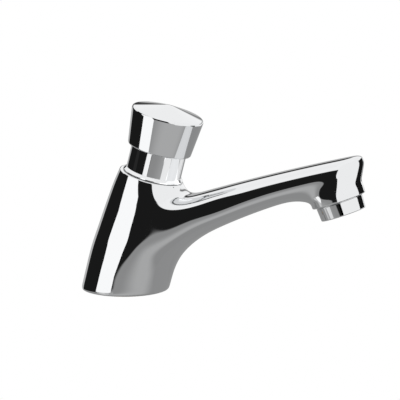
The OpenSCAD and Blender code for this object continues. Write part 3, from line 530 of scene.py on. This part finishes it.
def casting():
    """The body in one piece: column, spout, nose and outlet boss, with the holes inside it."""
    bm = bmesh.new()
    crease = bm.edges.layers.float.new("crease_edge")

    def crease_ring(ring):
        """Keeps a ring's edges sharp under the smoothing."""
        for edge in ring_edges(bm, ring):
            edge[crease] = 1.0

    # Column, from the foot's edge up to the flat seat
    foot = bmesh.ops.create_circle(bm, segments=RING, radius=1)["verts"]
    foot.sort(key=lambda v: round(math.atan2(v.co.y, v.co.x), 4) % TURN)
    for vert, place in zip(foot, column_ring(*COLUMN_ROWS[0])):
        vert.co = place
    rows = [foot]
    for j, row in enumerate(COLUMN_ROWS[1:], 1):
        places = column_ring(*row, FLANK_SWELL.get(j, ()), FLANK_LIFT.get(j, ()))
        rows.append(grow_ring(bm, rows[-1], places))
    # Inside the foot
    crease_ring(foot)
    shank_hole = foot
    for r, h in FOOT_HOLE:
        shank_hole = grow_ring(bm, shank_hole, [Vector((p.x, p.y, h)) for p in column_ring(0, r)])
        crease_ring(shank_hole)
    # Inside the seat, down to the shank's hole
    crease_ring(rows[-1])
    inner = rows[-1]
    for r, h in SEAT_HOLE:
        inner = grow_ring(bm, inner, head_ring(r, h))
        crease_ring(inner)
    way_rows = []
    for j in range(WAY_ROWS + 1):
        inner = grow_ring(bm, inner, head_ring(CHAMBER_R, WAY_TOP + (WAY_LOW - WAY_TOP) * j / WAY_ROWS))
        way_rows.append(inner)
    for r, h in CHAMBER_HOLE:
        inner = grow_ring(bm, inner, head_ring(r, h))
        crease_ring(inner)
    bmesh.ops.bridge_loops(bm, edges=ring_edges(bm, inner) + ring_edges(bm, shank_hole))
    # The waterway leaves the chamber through a gap of two by six faces
    delete_between(bm, way_rows, range(WAY_ROWS), range(-1, 1))
    way = [way_rows[0][i] for i in (-1, 0, 1)] + [way_rows[j][1] for j in range(1, WAY_ROWS + 1)]
    way += [way_rows[WAY_ROWS][i] for i in (0, -1)] + [way_rows[j][-1] for j in range(WAY_ROWS - 1, 0, -1)]
    for bend in WAY_PATH:
        way = grow_ring(bm, way, way_ring(*bend))
    # The spout leaves the column through a gap of four by four faces
    delete_between(bm, rows, range(ROOT_ROW, SHOULDER_ROW), range(-2, 2))
    gap = [rows[SHOULDER_ROW][i % RING] for i in range(-2, 3)]
    gap += [rows[j][2] for j in range(SHOULDER_ROW - 1, ROOT_ROW - 1, -1)]
    gap += [rows[ROOT_ROW][i % RING] for i in (1, 0, -1, -2)]
    gap += [rows[j][-2] for j in range(ROOT_ROW + 1, SHOULDER_ROW)]
    rings = []
    ring = gap
    for k in range(NOSE_K + 1):
        ring = grow_ring(bm, ring, [spout_point(k, q) for q in range(RING)])
        rings.append(ring)
    # Nose: rows across it, from the top edge of its frame down to the lower one
    frame_ring = [spout_point(NOSE_K, q) for q in range(RING)]
    row = rings[NOSE_K][0:5]
    for r in range(1, 5):
        left, right = frame_ring[RING - r], frame_ring[4 + r]
        places = [left]
        for c in (1, 2, 3):
            high, low = frame_ring[c], frame_ring[12 - c]
            y = left.y + (right.y - left.y) * c / 4
            places.append(Vector((nose_arc(y) + NOSE_BULGE - NOSE_BACK * (r - 1) / 2, y,
                                  high.z + (low.z - high.z) * r / 4)))
        places.append(right)
        if r == 4:
            places = [frame_ring[12 - c] for c in range(5)]
        row = grow_row(bm, row, places)
    # Boss: down from the gap under the nose to its rounded rim, then up the aerator's hole to the waterway
    delete_between(bm, rings, range(NECK_K, LAST_NECK_K), range(8, 12))
    neck = rings[NECK_K][8:13] + [rings[k][12] for k in range(NECK_K + 1, LAST_NECK_K + 1)]
    neck += rings[LAST_NECK_K][11:7:-1] + [rings[k][8] for k in range(LAST_NECK_K - 1, NECK_K, -1)]
    ring = neck
    for v, r, sharp in BOSS_ROWS:
        ring = grow_ring(bm, ring, [outlet_point(v, r * GAIN, NECK_START + q * STEP) for q in range(RING)])
        if sharp:
            crease_ring(ring)
    bmesh.ops.bridge_loops(bm, edges=ring_edges(bm, way) + ring_edges(bm, ring))
    bmesh.ops.remove_doubles(bm, verts=bm.verts, dist=1e-4)
    bmesh.ops.recalc_face_normals(bm, faces=bm.faces)
    piece = finish_piece("casting", bm, chrome, "tap", ["tap_body"], sharp=TURN)
    smooth = piece.modifiers.new("smooth", "SUBSURF")
    smooth.levels = smooth.render_levels = 3
    return piece


casting()

# Button: a flared cup with a low cone on top, screwed to the stem by the hub inside
BUTTON_LOW = 80.1
BUTTON_RIM = 100.6
BUTTON_IN_R = 15.3
BUTTON_LOW_R = 17.3
BUTTON_TOP_R = 19.8
CEILING = 98.5
STEM_HOLE_R = 3.05
STEM_HOLE_TOP = 99.3
HUB_R = 5.5
HUB_LOW = 90.5
CROWN_H = 4.6
APEX_ROUND = 12.0
APEX_STEPS = 6
slope = math.atan2(CROWN_H, BUTTON_TOP_R)
apex_z = BUTTON_RIM + CROWN_H - APEX_ROUND / math.cos(slope)
button_profile = [
    (0, STEM_HOLE_TOP, 0), (STEM_HOLE_R, STEM_HOLE_TOP, 0), (STEM_HOLE_R, HUB_LOW, 0), (HUB_R, HUB_LOW, 0.4),
    (HUB_R, CEILING, 0.5), (BUTTON_IN_R, CEILING, 0.8), (BUTTON_IN_R, BUTTON_LOW, 0.3),
    (BUTTON_LOW_R, BUTTON_LOW, 0.9), (BUTTON_TOP_R, BUTTON_RIM, 1.3),
]
for i in range(APEX_STEPS, -1, -1):
    angle = slope * i / APEX_STEPS
    button_profile.append((APEX_ROUND * math.sin(angle), apex_z + APEX_ROUND * math.cos(angle), 0))
even_normals(finish_piece(
    "button", turned(button_profile, HEAD_PLACE, closed=False), chrome, "plunger",
    ["push_button"]))

# Sleeve: the plain tube that the button slides on, with a bead ring at its foot
GASKET_TOP = SEAT_H + 0.7
GASKET_R = 15.05
BEAD_LOW = SEAT_H + 0.15
BEAD_TOP = GASKET_TOP + 1.5
BEAD_R = 16.4
SLEEVE_LOW = 52
SLEEVE_TOP = 87.9
SLEEVE_R = 15
SLEEVE_IN_R = 11.5
SCREW_R = 13.95
CLIP_R = 12.2
CLIP_LOW = 71.5
CLIP_TOP = 72.6
SHELF_R = 8.5
SHELF_LOW = 60
SHELF_TOP = 61.5
sleeve_profile = [
    (SLEEVE_IN_R, SLEEVE_LOW, 0.3), (SCREW_R, SLEEVE_LOW, 0.4), (SCREW_R, GASKET_TOP, 0),
    (GASKET_R, GASKET_TOP, 0), (GASKET_R, BEAD_LOW, 0), (BEAD_R, BEAD_LOW, 0.15),
    (BEAD_R, BEAD_LOW + 0.45, 0.25), (SLEEVE_R + 0.15, BEAD_TOP, 0.1), (SLEEVE_R, BEAD_TOP, 0.05),
    (SLEEVE_R, SLEEVE_TOP, 0.5),
    (SLEEVE_IN_R, SLEEVE_TOP, 0.4), (SLEEVE_IN_R, CLIP_TOP, 0), (CLIP_R, CLIP_TOP, 0), (CLIP_R, CLIP_LOW, 0),
    (SLEEVE_IN_R, CLIP_LOW, 0), (SLEEVE_IN_R, SHELF_TOP, 0), (SHELF_R, SHELF_TOP, 0), (SHELF_R, SHELF_LOW, 0),
    (SLEEVE_IN_R, SHELF_LOW, 0),
]
sleeve = even_normals(finish_piece(
    "sleeve", turned(sleeve_profile, HEAD_PLACE), chrome, "tap", ["head_sleeve"]))

# Aerator ring under the boss, with the screw that goes up into it and a lip round its mouth
AERATOR_LOW = -7.4
AERATOR_TOP = -0.25
AERATOR_R = 12.6
AERATOR_LOW_R = 12.1
AERATOR_SCREW_R = 12
AERATOR_SCREW_TOP = 6
INSERT_R = 10.5
INSERT_LOW = -5.4
MOUTH_R = 9.5
aerator_profile = [
    (INSERT_R, AERATOR_SCREW_TOP, 0.2), (AERATOR_SCREW_R, AERATOR_SCREW_TOP, 0.4),
    (AERATOR_SCREW_R, AERATOR_TOP, 0), (AERATOR_R, AERATOR_TOP, 0.3), (AERATOR_LOW_R, AERATOR_LOW, 0.5),
    (MOUTH_R, AERATOR_LOW, 0.3), (MOUTH_R, INSERT_LOW, 0), (INSERT_R, INSERT_LOW, 0),
]
aerator_ring = even_normals(finish_piece(
    "aerator_ring", turned(aerator_profile, OUTLET_PLACE), chrome, "tap",
    ["aerator_housing"]))

# Inlet shank: a half-inch pipe thread with a plain top in the body
PITCH = 1.814
CREST_R = 10.48
ROOT_R = CREST_R - 0.64 * PITCH
BORE_R = 8.0
THREAD_LOW = -47.2
THREAD_HIGH = -3.0
THREAD_STEPS = 48
SHANK_LOW = -48
SHANK_TOP = 9.5
SHANK_CHAMFER = 0.4
# From the thread's lower end round the mouth, up the bore and down the plain top to the thread's relief
SHANK_ROWS = [
    (9.0, SHANK_LOW), (BORE_R, SHANK_LOW), (BORE_R, SHANK_TOP), (CREST_R - SHANK_CHAMFER, SHANK_TOP),
    (CREST_R, SHANK_TOP - SHANK_CHAMFER), (CREST_R, -1.5), (ROOT_R, -2.6),
]


def ring_at(bm, z):
    """The open edge at a height, as vertices in order."""
    edges = [e for e in bm.edges if e.is_boundary and all(abs(v.co.z - z) < 1e-3 for v in e.verts)]
    first = edges[0]
    ring = [first.verts[0]]
    last = first
    while True:
        ring.append(last.other_vert(ring[-1]))
        last = next(e for e in ring[-1].link_edges if e in edges and e is not last)
        if last is first:
            return ring[:-1]


def grow_circle(bm, ring, r, z):
    """Extrudes a ring to a circle round the deck axis."""
    angles = [math.atan2(v.co.y, v.co.x) for v in ring]
    return grow_ring(bm, ring, [Vector((r * math.cos(a), r * math.sin(a), z)) for a in angles])


def threaded_shank():
    """A tube with a thread on its lower part: one turn is spun as a helix, repeated and cut to length."""
    bm = bmesh.new()
    middle = (CREST_R + ROOT_R) / 2
    start = THREAD_LOW - 1.5 * PITCH
    corners = [(middle, 0), (CREST_R + 0.1, 0.25), (ROOT_R - 0.1, 0.75), (middle, 1)]
    verts = [bm.verts.new((r, 0, start + share * PITCH)) for r, share in corners]
    for a, b in zip(verts, verts[1:]):
        bm.edges.new((a, b))
    bmesh.ops.bevel(bm, geom=verts[1:3], offset=0.25, offset_type="OFFSET", segments=3, profile=0.5,
                    affect="VERTICES", material=-1)
    bmesh.ops.spin(bm, geom=bm.verts[:] + bm.edges[:], cent=(0, 0, 0), axis=(0, 0, 1),
                   dvec=(0, 0, PITCH / THREAD_STEPS), angle=TURN, steps=THREAD_STEPS)
    one_turn = bm.verts[:] + bm.edges[:] + bm.faces[:]
    for turn in range(1, math.ceil((THREAD_HIGH - THREAD_LOW) / PITCH) + 3):
        copy = bmesh.ops.duplicate(bm, geom=one_turn)["geom"]
        bmesh.ops.translate(bm, verts=[v for v in copy if isinstance(v, bmesh.types.BMVert)],
                            vec=(0, 0, turn * PITCH))
    bmesh.ops.remove_doubles(bm, verts=bm.verts, dist=1e-3)
    for z, below in ((THREAD_LOW, True), (THREAD_HIGH, False)):
        everything = bm.verts[:] + bm.edges[:] + bm.faces[:]
        bmesh.ops.bisect_plane(bm, geom=everything, dist=1e-4, plane_co=(0, 0, z), plane_no=(0, 0, 1),
                               clear_inner=below, clear_outer=not below)
    ring = ring_at(bm, THREAD_LOW)
    for r, z in SHANK_ROWS:
        ring = grow_circle(bm, ring, r, z)
    top = ring_at(bm, THREAD_HIGH)
    bmesh.ops.bridge_loops(bm, edges=ring_edges(bm, ring) + ring_edges(bm, top))
    bmesh.ops.recalc_face_normals(bm, faces=bm.faces)
    return bm


finish_piece("shank", threaded_shank(), brass, "tap", ["inlet_shank"])

# Back nut: a hexagon with its corners turned off
NUT_LOW = -33.0
NUT_HIGH = -25.0
NUT_FLAT = 15.0
NUT_FACE_R = 14.3
NUT_HOLE_R = CREST_R + 0.05
SINK_R = 11.3
SINK_DEEP = 0.8
CORNER_CUT = math.tan(math.radians(30))


def hexagon_nut():
    """A nut whose hexagon meets its round faces in the curves that turning leaves."""
    bm = bmesh.new()
    first = bmesh.ops.create_circle(bm, segments=96, radius=NUT_HOLE_R)["verts"]
    bmesh.ops.translate(bm, verts=first, vec=(0, 0, NUT_LOW + SINK_DEEP))
    ring = grow_circle(bm, first, SINK_R, NUT_LOW)
    ring = grow_circle(bm, ring, NUT_FACE_R, NUT_LOW)
    for end, down in ((NUT_LOW, False), (NUT_HIGH, True)):
        places = []
        for vert in ring:
            a = math.atan2(vert.co.y, vert.co.x)
            r = NUT_FLAT / math.cos(a % (TURN / 6) - TURN / 12)
            cut = (r - NUT_FACE_R) * CORNER_CUT
            places.append(Vector((r * math.cos(a), r * math.sin(a), end - cut if down else end + cut)))
        ring = grow_ring(bm, ring, places)
    for r, z in [(NUT_FACE_R, NUT_HIGH), (SINK_R, NUT_HIGH), (NUT_HOLE_R, NUT_HIGH - SINK_DEEP)]:
        ring = grow_circle(bm, ring, r, z)
    bmesh.ops.bridge_loops(bm, edges=ring_edges(bm, ring) + ring_edges(bm, first))
    bmesh.ops.recalc_face_normals(bm, faces=bm.faces)
    return bm


finish_piece("hexagon_nut", hexagon_nut(), brass, "tap", ["back_nut"], sharp=math.radians(20))

# Return spring: closed end turns, open ones between, as heights that each turn climbs
SPRING_LOW = 30.0
SPRING_R = 6.4
WIRE_R = 0.65
WIRE_SIDES = 12
COIL_STEPS = 40
SPRING_RISES = (1.45, 3.2, 6.15, 6.15, 3.2, 1.45)


def coil_spring():
    """A wire that winds up the head's axis from the seat carrier to the piston."""
    bm = bmesh.new()
    wire = bmesh.ops.create_circle(bm, segments=WIRE_SIDES, radius=WIRE_R)["verts"]
    bmesh.ops.rotate(bm, cent=(0, 0, 0), matrix=Matrix.Rotation(TURN / 4, 3, "X"), verts=wire)
    bmesh.ops.translate(bm, verts=wire, vec=(SPRING_R, 0, SPRING_LOW + WIRE_R))
    end = bm.verts[:] + bm.edges[:]
    for rise in SPRING_RISES:
        end = bmesh.ops.spin(bm, geom=end, cent=(0, 0, 0), axis=(0, 0, 1), dvec=(0, 0, rise / COIL_STEPS),
                             angle=TURN, steps=COIL_STEPS)["geom_last"]
    bmesh.ops.holes_fill(bm, edges=bm.edges, sides=WIRE_SIDES)
    bmesh.ops.recalc_face_normals(bm, faces=bm.faces)
    bmesh.ops.transform(bm, matrix=HEAD_PLACE, verts=bm.verts)
    return bm


spring = finish_piece("spring", coil_spring(), steel, None, ["return_spring"])
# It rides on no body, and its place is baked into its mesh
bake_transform(spring)


# Studio

def studio_world():
    """What the plating mirrors: a white ceiling, a dark room beside the camera, pale walls, a grey floor."""
    world = bpy.data.worlds.new("studio")
    bpy.context.scene.world = world
    world.use_nodes = True
    tree = world.node_tree
    tree.nodes.clear()
    output = add_node(tree, "ShaderNodeOutputWorld")
    way = add_node(tree, "ShaderNodeTexCoord").outputs["Generated"]
    xyz = add_node(tree, "ShaderNodeSeparateXYZ", {"Vector": way})
    back = add_node(tree, "ShaderNodeMath", {0: xyz.outputs["Y"], 1: -1.0}, operation="MULTIPLY")
    turn = add_node(tree, "ShaderNodeMath", {0: xyz.outputs["X"], 1: back.outputs[0]}, operation="ARCTAN2")
    azimuth = add_node(tree, "ShaderNodeMath", {0: turn.outputs[0]}, operation="DEGREES").outputs[0]
    rise = add_node(tree, "ShaderNodeMath", {0: xyz.outputs["Z"]}, operation="ARCSINE")
    height = add_node(tree, "ShaderNodeMath", {0: rise.outputs[0]}, operation="DEGREES").outputs[0]
    # Brightness, azimuths from the camera's side towards the spout, heights, and how soft the edges
    # of both are, in degrees. Each is painted over those before it.
    panels = [
        (0.32, (-200, 200), (-100, -12), 1, 2),
        (0.49, (-60, 85), (-46, -24), 45, 16),
        (1.11, (-200, 200), (38, 100), 1, 4),
        (1.08, (50, 200), (-20, 60), 4, 4),
        (1.08, (-200, -128), (-13, 60), 8, 4),
        (1.08, (-134, -92), (20, 60), 6, 4),
        (0.50, (-172, -130), (-13, 7), 4, 8),
        (0.33, (165, 200), (-25, -5), 3, 3),
        (0.33, (-200, -172), (-25, -5), 3, 3),
        (0.22, (-200, -128), (6, 14), 3, 6),
        (0.22, (150, 200), (6, 14), 3, 6),
        (0.03, (-160, -128), (8, 19), 3, 4),
    ]
    room = 0.012
    for strength, sides, heights, *softness in panels:
        share = None
        for value, edges, soft in zip((azimuth, height), (sides, heights), softness):
            up, past = [
                add_node(tree, "ShaderNodeMapRange", {
                    "Value": value, "From Min": edge - soft / 2, "From Max": edge + soft / 2},
                    interpolation_type="SMOOTHSTEP").outputs["Result"]
                for edge in edges]
            band = add_node(tree, "ShaderNodeMath", {0: up, 1: past}, operation="SUBTRACT").outputs[0]
            share = band if share is None else add_node(
                tree, "ShaderNodeMath", {0: share, 1: band}, operation="MULTIPLY").outputs[0]
        room = add_node(tree, "ShaderNodeMix", {0: share, 2: room, 3: strength}, data_type="FLOAT").outputs[0]
    mirrored = add_node(tree, "ShaderNodeBackground", {"Color": (1, 1, 1, 1), "Strength": room})
    backdrop = add_node(tree, "ShaderNodeBackground", {"Color": (1, 1, 1, 1), "Strength": 1.0})
    seen = add_node(tree, "ShaderNodeLightPath").outputs["Is Camera Ray"]
    mix = add_node(tree, "ShaderNodeMixShader", {
        0: seen, 1: mirrored.outputs["Background"], 2: backdrop.outputs["Background"]})
    tree.links.new(mix.outputs["Shader"], output.inputs["Surface"])


studio_world()


def card(name, rows, strength):
    """A studio card, as rows of points in millimetres. It shows in the plating but not to the camera."""
    bm = bmesh.new()
    row = [bm.verts.new(Vector(place) * MM) for place in rows[0]]
    for a, b in zip(row, row[1:]):
        bm.edges.new((a, b))
    for places in rows[1:]:
        row = grow_row(bm, row, [Vector(place) * MM for place in places])
    mesh = bpy.data.meshes.new(name)
    bm.to_mesh(mesh)
    bm.free()
    material, tree, output = new_material(name)
    shine = add_node(tree, "ShaderNodeEmission", {"Color": (1, 1, 1, 1), "Strength": strength})
    tree.links.new(shine.outputs["Emission"], output.inputs["Surface"])
    mesh.materials.append(material)
    piece = bpy.data.objects.new(name, mesh)
    bpy.context.scene.collection.objects.link(piece)
    piece.visible_camera = False
    piece.visible_diffuse = False
    piece.visible_shadow = False
    return piece


# White card to the left of the camera, close to the tap: heights, and where it starts and ends along a line
# between two places. Its edges are those of the light band on the column.
WHITE_START = Vector((-21, -120, 0))
WHITE_END = Vector((-133, -93, 0))
WHITE_LOW = -24
WHITE_ROWS = [
    (WHITE_LOW, 0.12, 1.13), (-8, 0.11, 1.12), (-2, 0.07, 1.06), (5, 0.045, 1), (13, 0.035, 0.93),
    (26, 0.035, 0.89), (38, 0.045, 0.91), (46, 0.05, 1), (66, 0.06, 1), (78, 0.03, 1.1), (94, -0.02, 1.14),
    (180, -0.02, 1.14),
]


def on_white(share, z):
    """A place on the white card."""
    return WHITE_START.lerp(WHITE_END, share) + Vector((0, 0, z))


white_card = card("white_card", [[on_white(a, z), on_white(b, z)] for z, a, b in WHITE_ROWS], 1.23)
# Below it, strips that fade out to both sides
LOW_STRENGTHS = (0.45, 0.6, 0.72, 0.66, 0.5)
LOW_LOW = -75
low_cards = []
for index, strength in enumerate(LOW_STRENGTHS):
    ends = [step / len(LOW_STRENGTHS) for step in (index, index + 1)]
    rows = [[on_white(share, z) for share in ends] for z in (LOW_LOW, WHITE_LOW)]
    low_cards.append(card("low_card_%d" % index, rows, strength))

# White cards to the right of the camera, in front of the spout's end and beside it. The left edge of the
# first is the edge of the black on the spout's side: x, height there and height from x 170 on.
SIDE_STRENGTH = 1.08
SIDE_LOW = -20
SIDE_TOP = 300
SIDE_END = (181, -144.4)
RIGHT_END = (260, -90)
SIDE_ROWS = [
    (160, 25, SIDE_LOW), (160, 50, 50), (125, 60, 60), (112, 80, 80), (112, 140, 140), (123, 142, 142),
    (123, SIDE_TOP, SIDE_TOP),
]
side_card = card("side_card", [
    [(x, -155, z), (166, -152, z), (170, -152, low), (*SIDE_END, low)]
    for x, z, low in SIDE_ROWS], SIDE_STRENGTH)
card("right_card", [[(*SIDE_END, z), (*RIGHT_END, z)] for z in (SIDE_LOW, SIDE_TOP)], SIDE_STRENGTH)
# Black card beyond the spout's end
card("black_card", [[(187.5, 23, z), (151, 61, z)] for z in (46, 105)], 0.01)
# Grey card on the deck, which hides the clamp below it from the outlet: x and half width
DECK_ROWS = [(22.5, 10), (40, 15), (105, 14)]
DECK_Z = -0.5
card("deck_card", [[(x, -y, DECK_Z), (x, y, DECK_Z)] for x, y in DECK_ROWS], 0.33)

# Lights beside the sleeve stand on a circle of this radius, and end at this height on the head axis
LIGHT_R = 24
LIGHT_TOP = 77.5
FRONT_LOW = 64.3
BACK_LOW = 63.5


def soft_light(name, piece, place, wide, high, strength):
    """A soft light that only one piece gets, as a rectangle in millimetres that shines down its own axis."""
    light = bpy.data.lights.new(name, "AREA")
    light.shape = "RECTANGLE"
    light.size = wide * MM
    light.size_y = high * MM
    light.energy = strength * math.pi * light.size * light.size_y
    lamp = bpy.data.objects.new(name, light)
    bpy.context.scene.collection.objects.link(lamp)
    lamp.matrix_world = Matrix.Translation(place.to_translation() * MM) @ place.to_3x3().to_4x4()
    lamp.visible_camera = False
    lit = bpy.data.collections.new(name)
    lit.objects.link(piece)
    lamp.light_linking.receiver_collection = lit


def sleeve_light(name, first, last, low, strength):
    """A soft light beside the sleeve, between two angles in degrees from the camera's side."""
    middle = math.radians((first + last) / 2 - 90)
    half = math.radians((last - first) / 2)
    c, s = math.cos(middle), math.sin(middle)
    turn = Matrix(((-s, 0, c), (c, 0, s), (0, 1, 0)))
    centre = Vector((c, s, 0)) * LIGHT_R * math.cos(half) + Vector((0, 0, (low + LIGHT_TOP) / 2))
    place = HEAD_PLACE @ Matrix.Translation(centre) @ turn.to_4x4()
    soft_light(name, sleeve, place, 2 * LIGHT_R * math.sin(half), LIGHT_TOP - low, strength)


def keep_off(piece, *cards):
    """Keeps the light of cards off a piece, which then mirrors them as black."""
    kept = bpy.data.collections.new("not_" + piece.name)
    kept.objects.link(piece)
    for entry in kept.collection_objects:
        entry.light_linking.link_state = "EXCLUDE"
    for each in cards:
        each.light_linking.receiver_collection = kept


keep_off(sleeve, white_card, *low_cards)
sleeve_light("sleeve_shade", -50, -11.8, FRONT_LOW, 0.012)
sleeve_light("sleeve_front", -11.8, 1.1, FRONT_LOW, 1.15)
sleeve_light("sleeve_side", 40.7, 60.4, BACK_LOW, 0.6)
sleeve_light("sleeve_far_side", 59.3, 97, BACK_LOW, 0.2)
sleeve_light("sleeve_back", 97, 115, BACK_LOW, 0.65)
keep_off(aerator_ring, side_card)
ring_place = Matrix.Translation((-21, -153, -15)) @ Matrix.Rotation(TURN / 4, 4, "X")
soft_light("ring_front", aerator_ring, ring_place, 118, 90, 0.47)

FLOOR_HOLE_R = 22.4
FLOOR_SPREAD = 120


def studio_floor():
    """A plain pale floor round the foot, with a hole for the shank."""
    bm = bmesh.new()
    bmesh.ops.create_circle(bm, segments=96, radius=FLOOR_HOLE_R * MM)
    grown = bmesh.ops.extrude_edge_only(bm, edges=bm.edges[:])["geom"]
    outer = [v for v in grown if isinstance(v, bmesh.types.BMVert)]
    bmesh.ops.scale(bm, vec=(FLOOR_SPREAD, FLOOR_SPREAD, 1), verts=outer)
    mesh = bpy.data.meshes.new("floor")
    bm.to_mesh(mesh)
    bm.free()
    material, tree, output = new_material("pale_floor")
    paper = add_node(tree, "ShaderNodeBsdfDiffuse", {"Color": linear("#f2f2f2")})
    white = add_node(tree, "ShaderNodeEmission", {"Color": (1, 1, 1, 1), "Strength": 1.0})
    seen = add_node(tree, "ShaderNodeLightPath").outputs["Is Camera Ray"]
    mix = add_node(tree, "ShaderNodeMixShader", {
        0: seen, 1: paper.outputs["BSDF"], 2: white.outputs["Emission"]})
    tree.links.new(mix.outputs["Shader"], output.inputs["Surface"])
    mesh.materials.append(material)
    piece = bpy.data.objects.new("floor", mesh)
    bpy.context.scene.collection.objects.link(piece)
    piece.visible_glossy = False


studio_floor()


# Where the camera stands, what it looks at, and how far the tap is moved right and down in the picture
CAMERA_AROUND = math.radians(19.83)
CAMERA_ABOVE = math.radians(9.99)
CAMERA_FAR = 1300
CAMERA_AIM = Vector((50, 0, 45))
MOVED_RIGHT = 6.32
MOVED_DOWN = 6.49
SENSOR = 36
LENS = 218.8


def photo_camera():
    """A long lens, a little above the tap and to the spout's side."""
    around, above = CAMERA_AROUND, CAMERA_ABOVE
    back = Vector((math.sin(around) * math.cos(above), -math.cos(around) * math.cos(above), math.sin(above)))
    right = Vector((math.cos(around), math.sin(around), 0))
    up = back.cross(right)
    aim = CAMERA_AIM - right * MOVED_RIGHT + up * MOVED_DOWN
    lens = bpy.data.cameras.new("photo_camera")
    lens.sensor_width = SENSOR
    lens.lens = LENS
    lens.clip_end = 50
    camera = bpy.data.objects.new("photo_camera", lens)
    bpy.context.scene.collection.objects.link(camera)
    turn = Matrix((right, up, back)).transposed().to_4x4()
    camera.matrix_world = Matrix.Translation((aim + back * CAMERA_FAR) * MM) @ turn
    bpy.context.scene.camera = camera


photo_camera()
bpy.context.scene.view_settings.view_transform = "Standard"
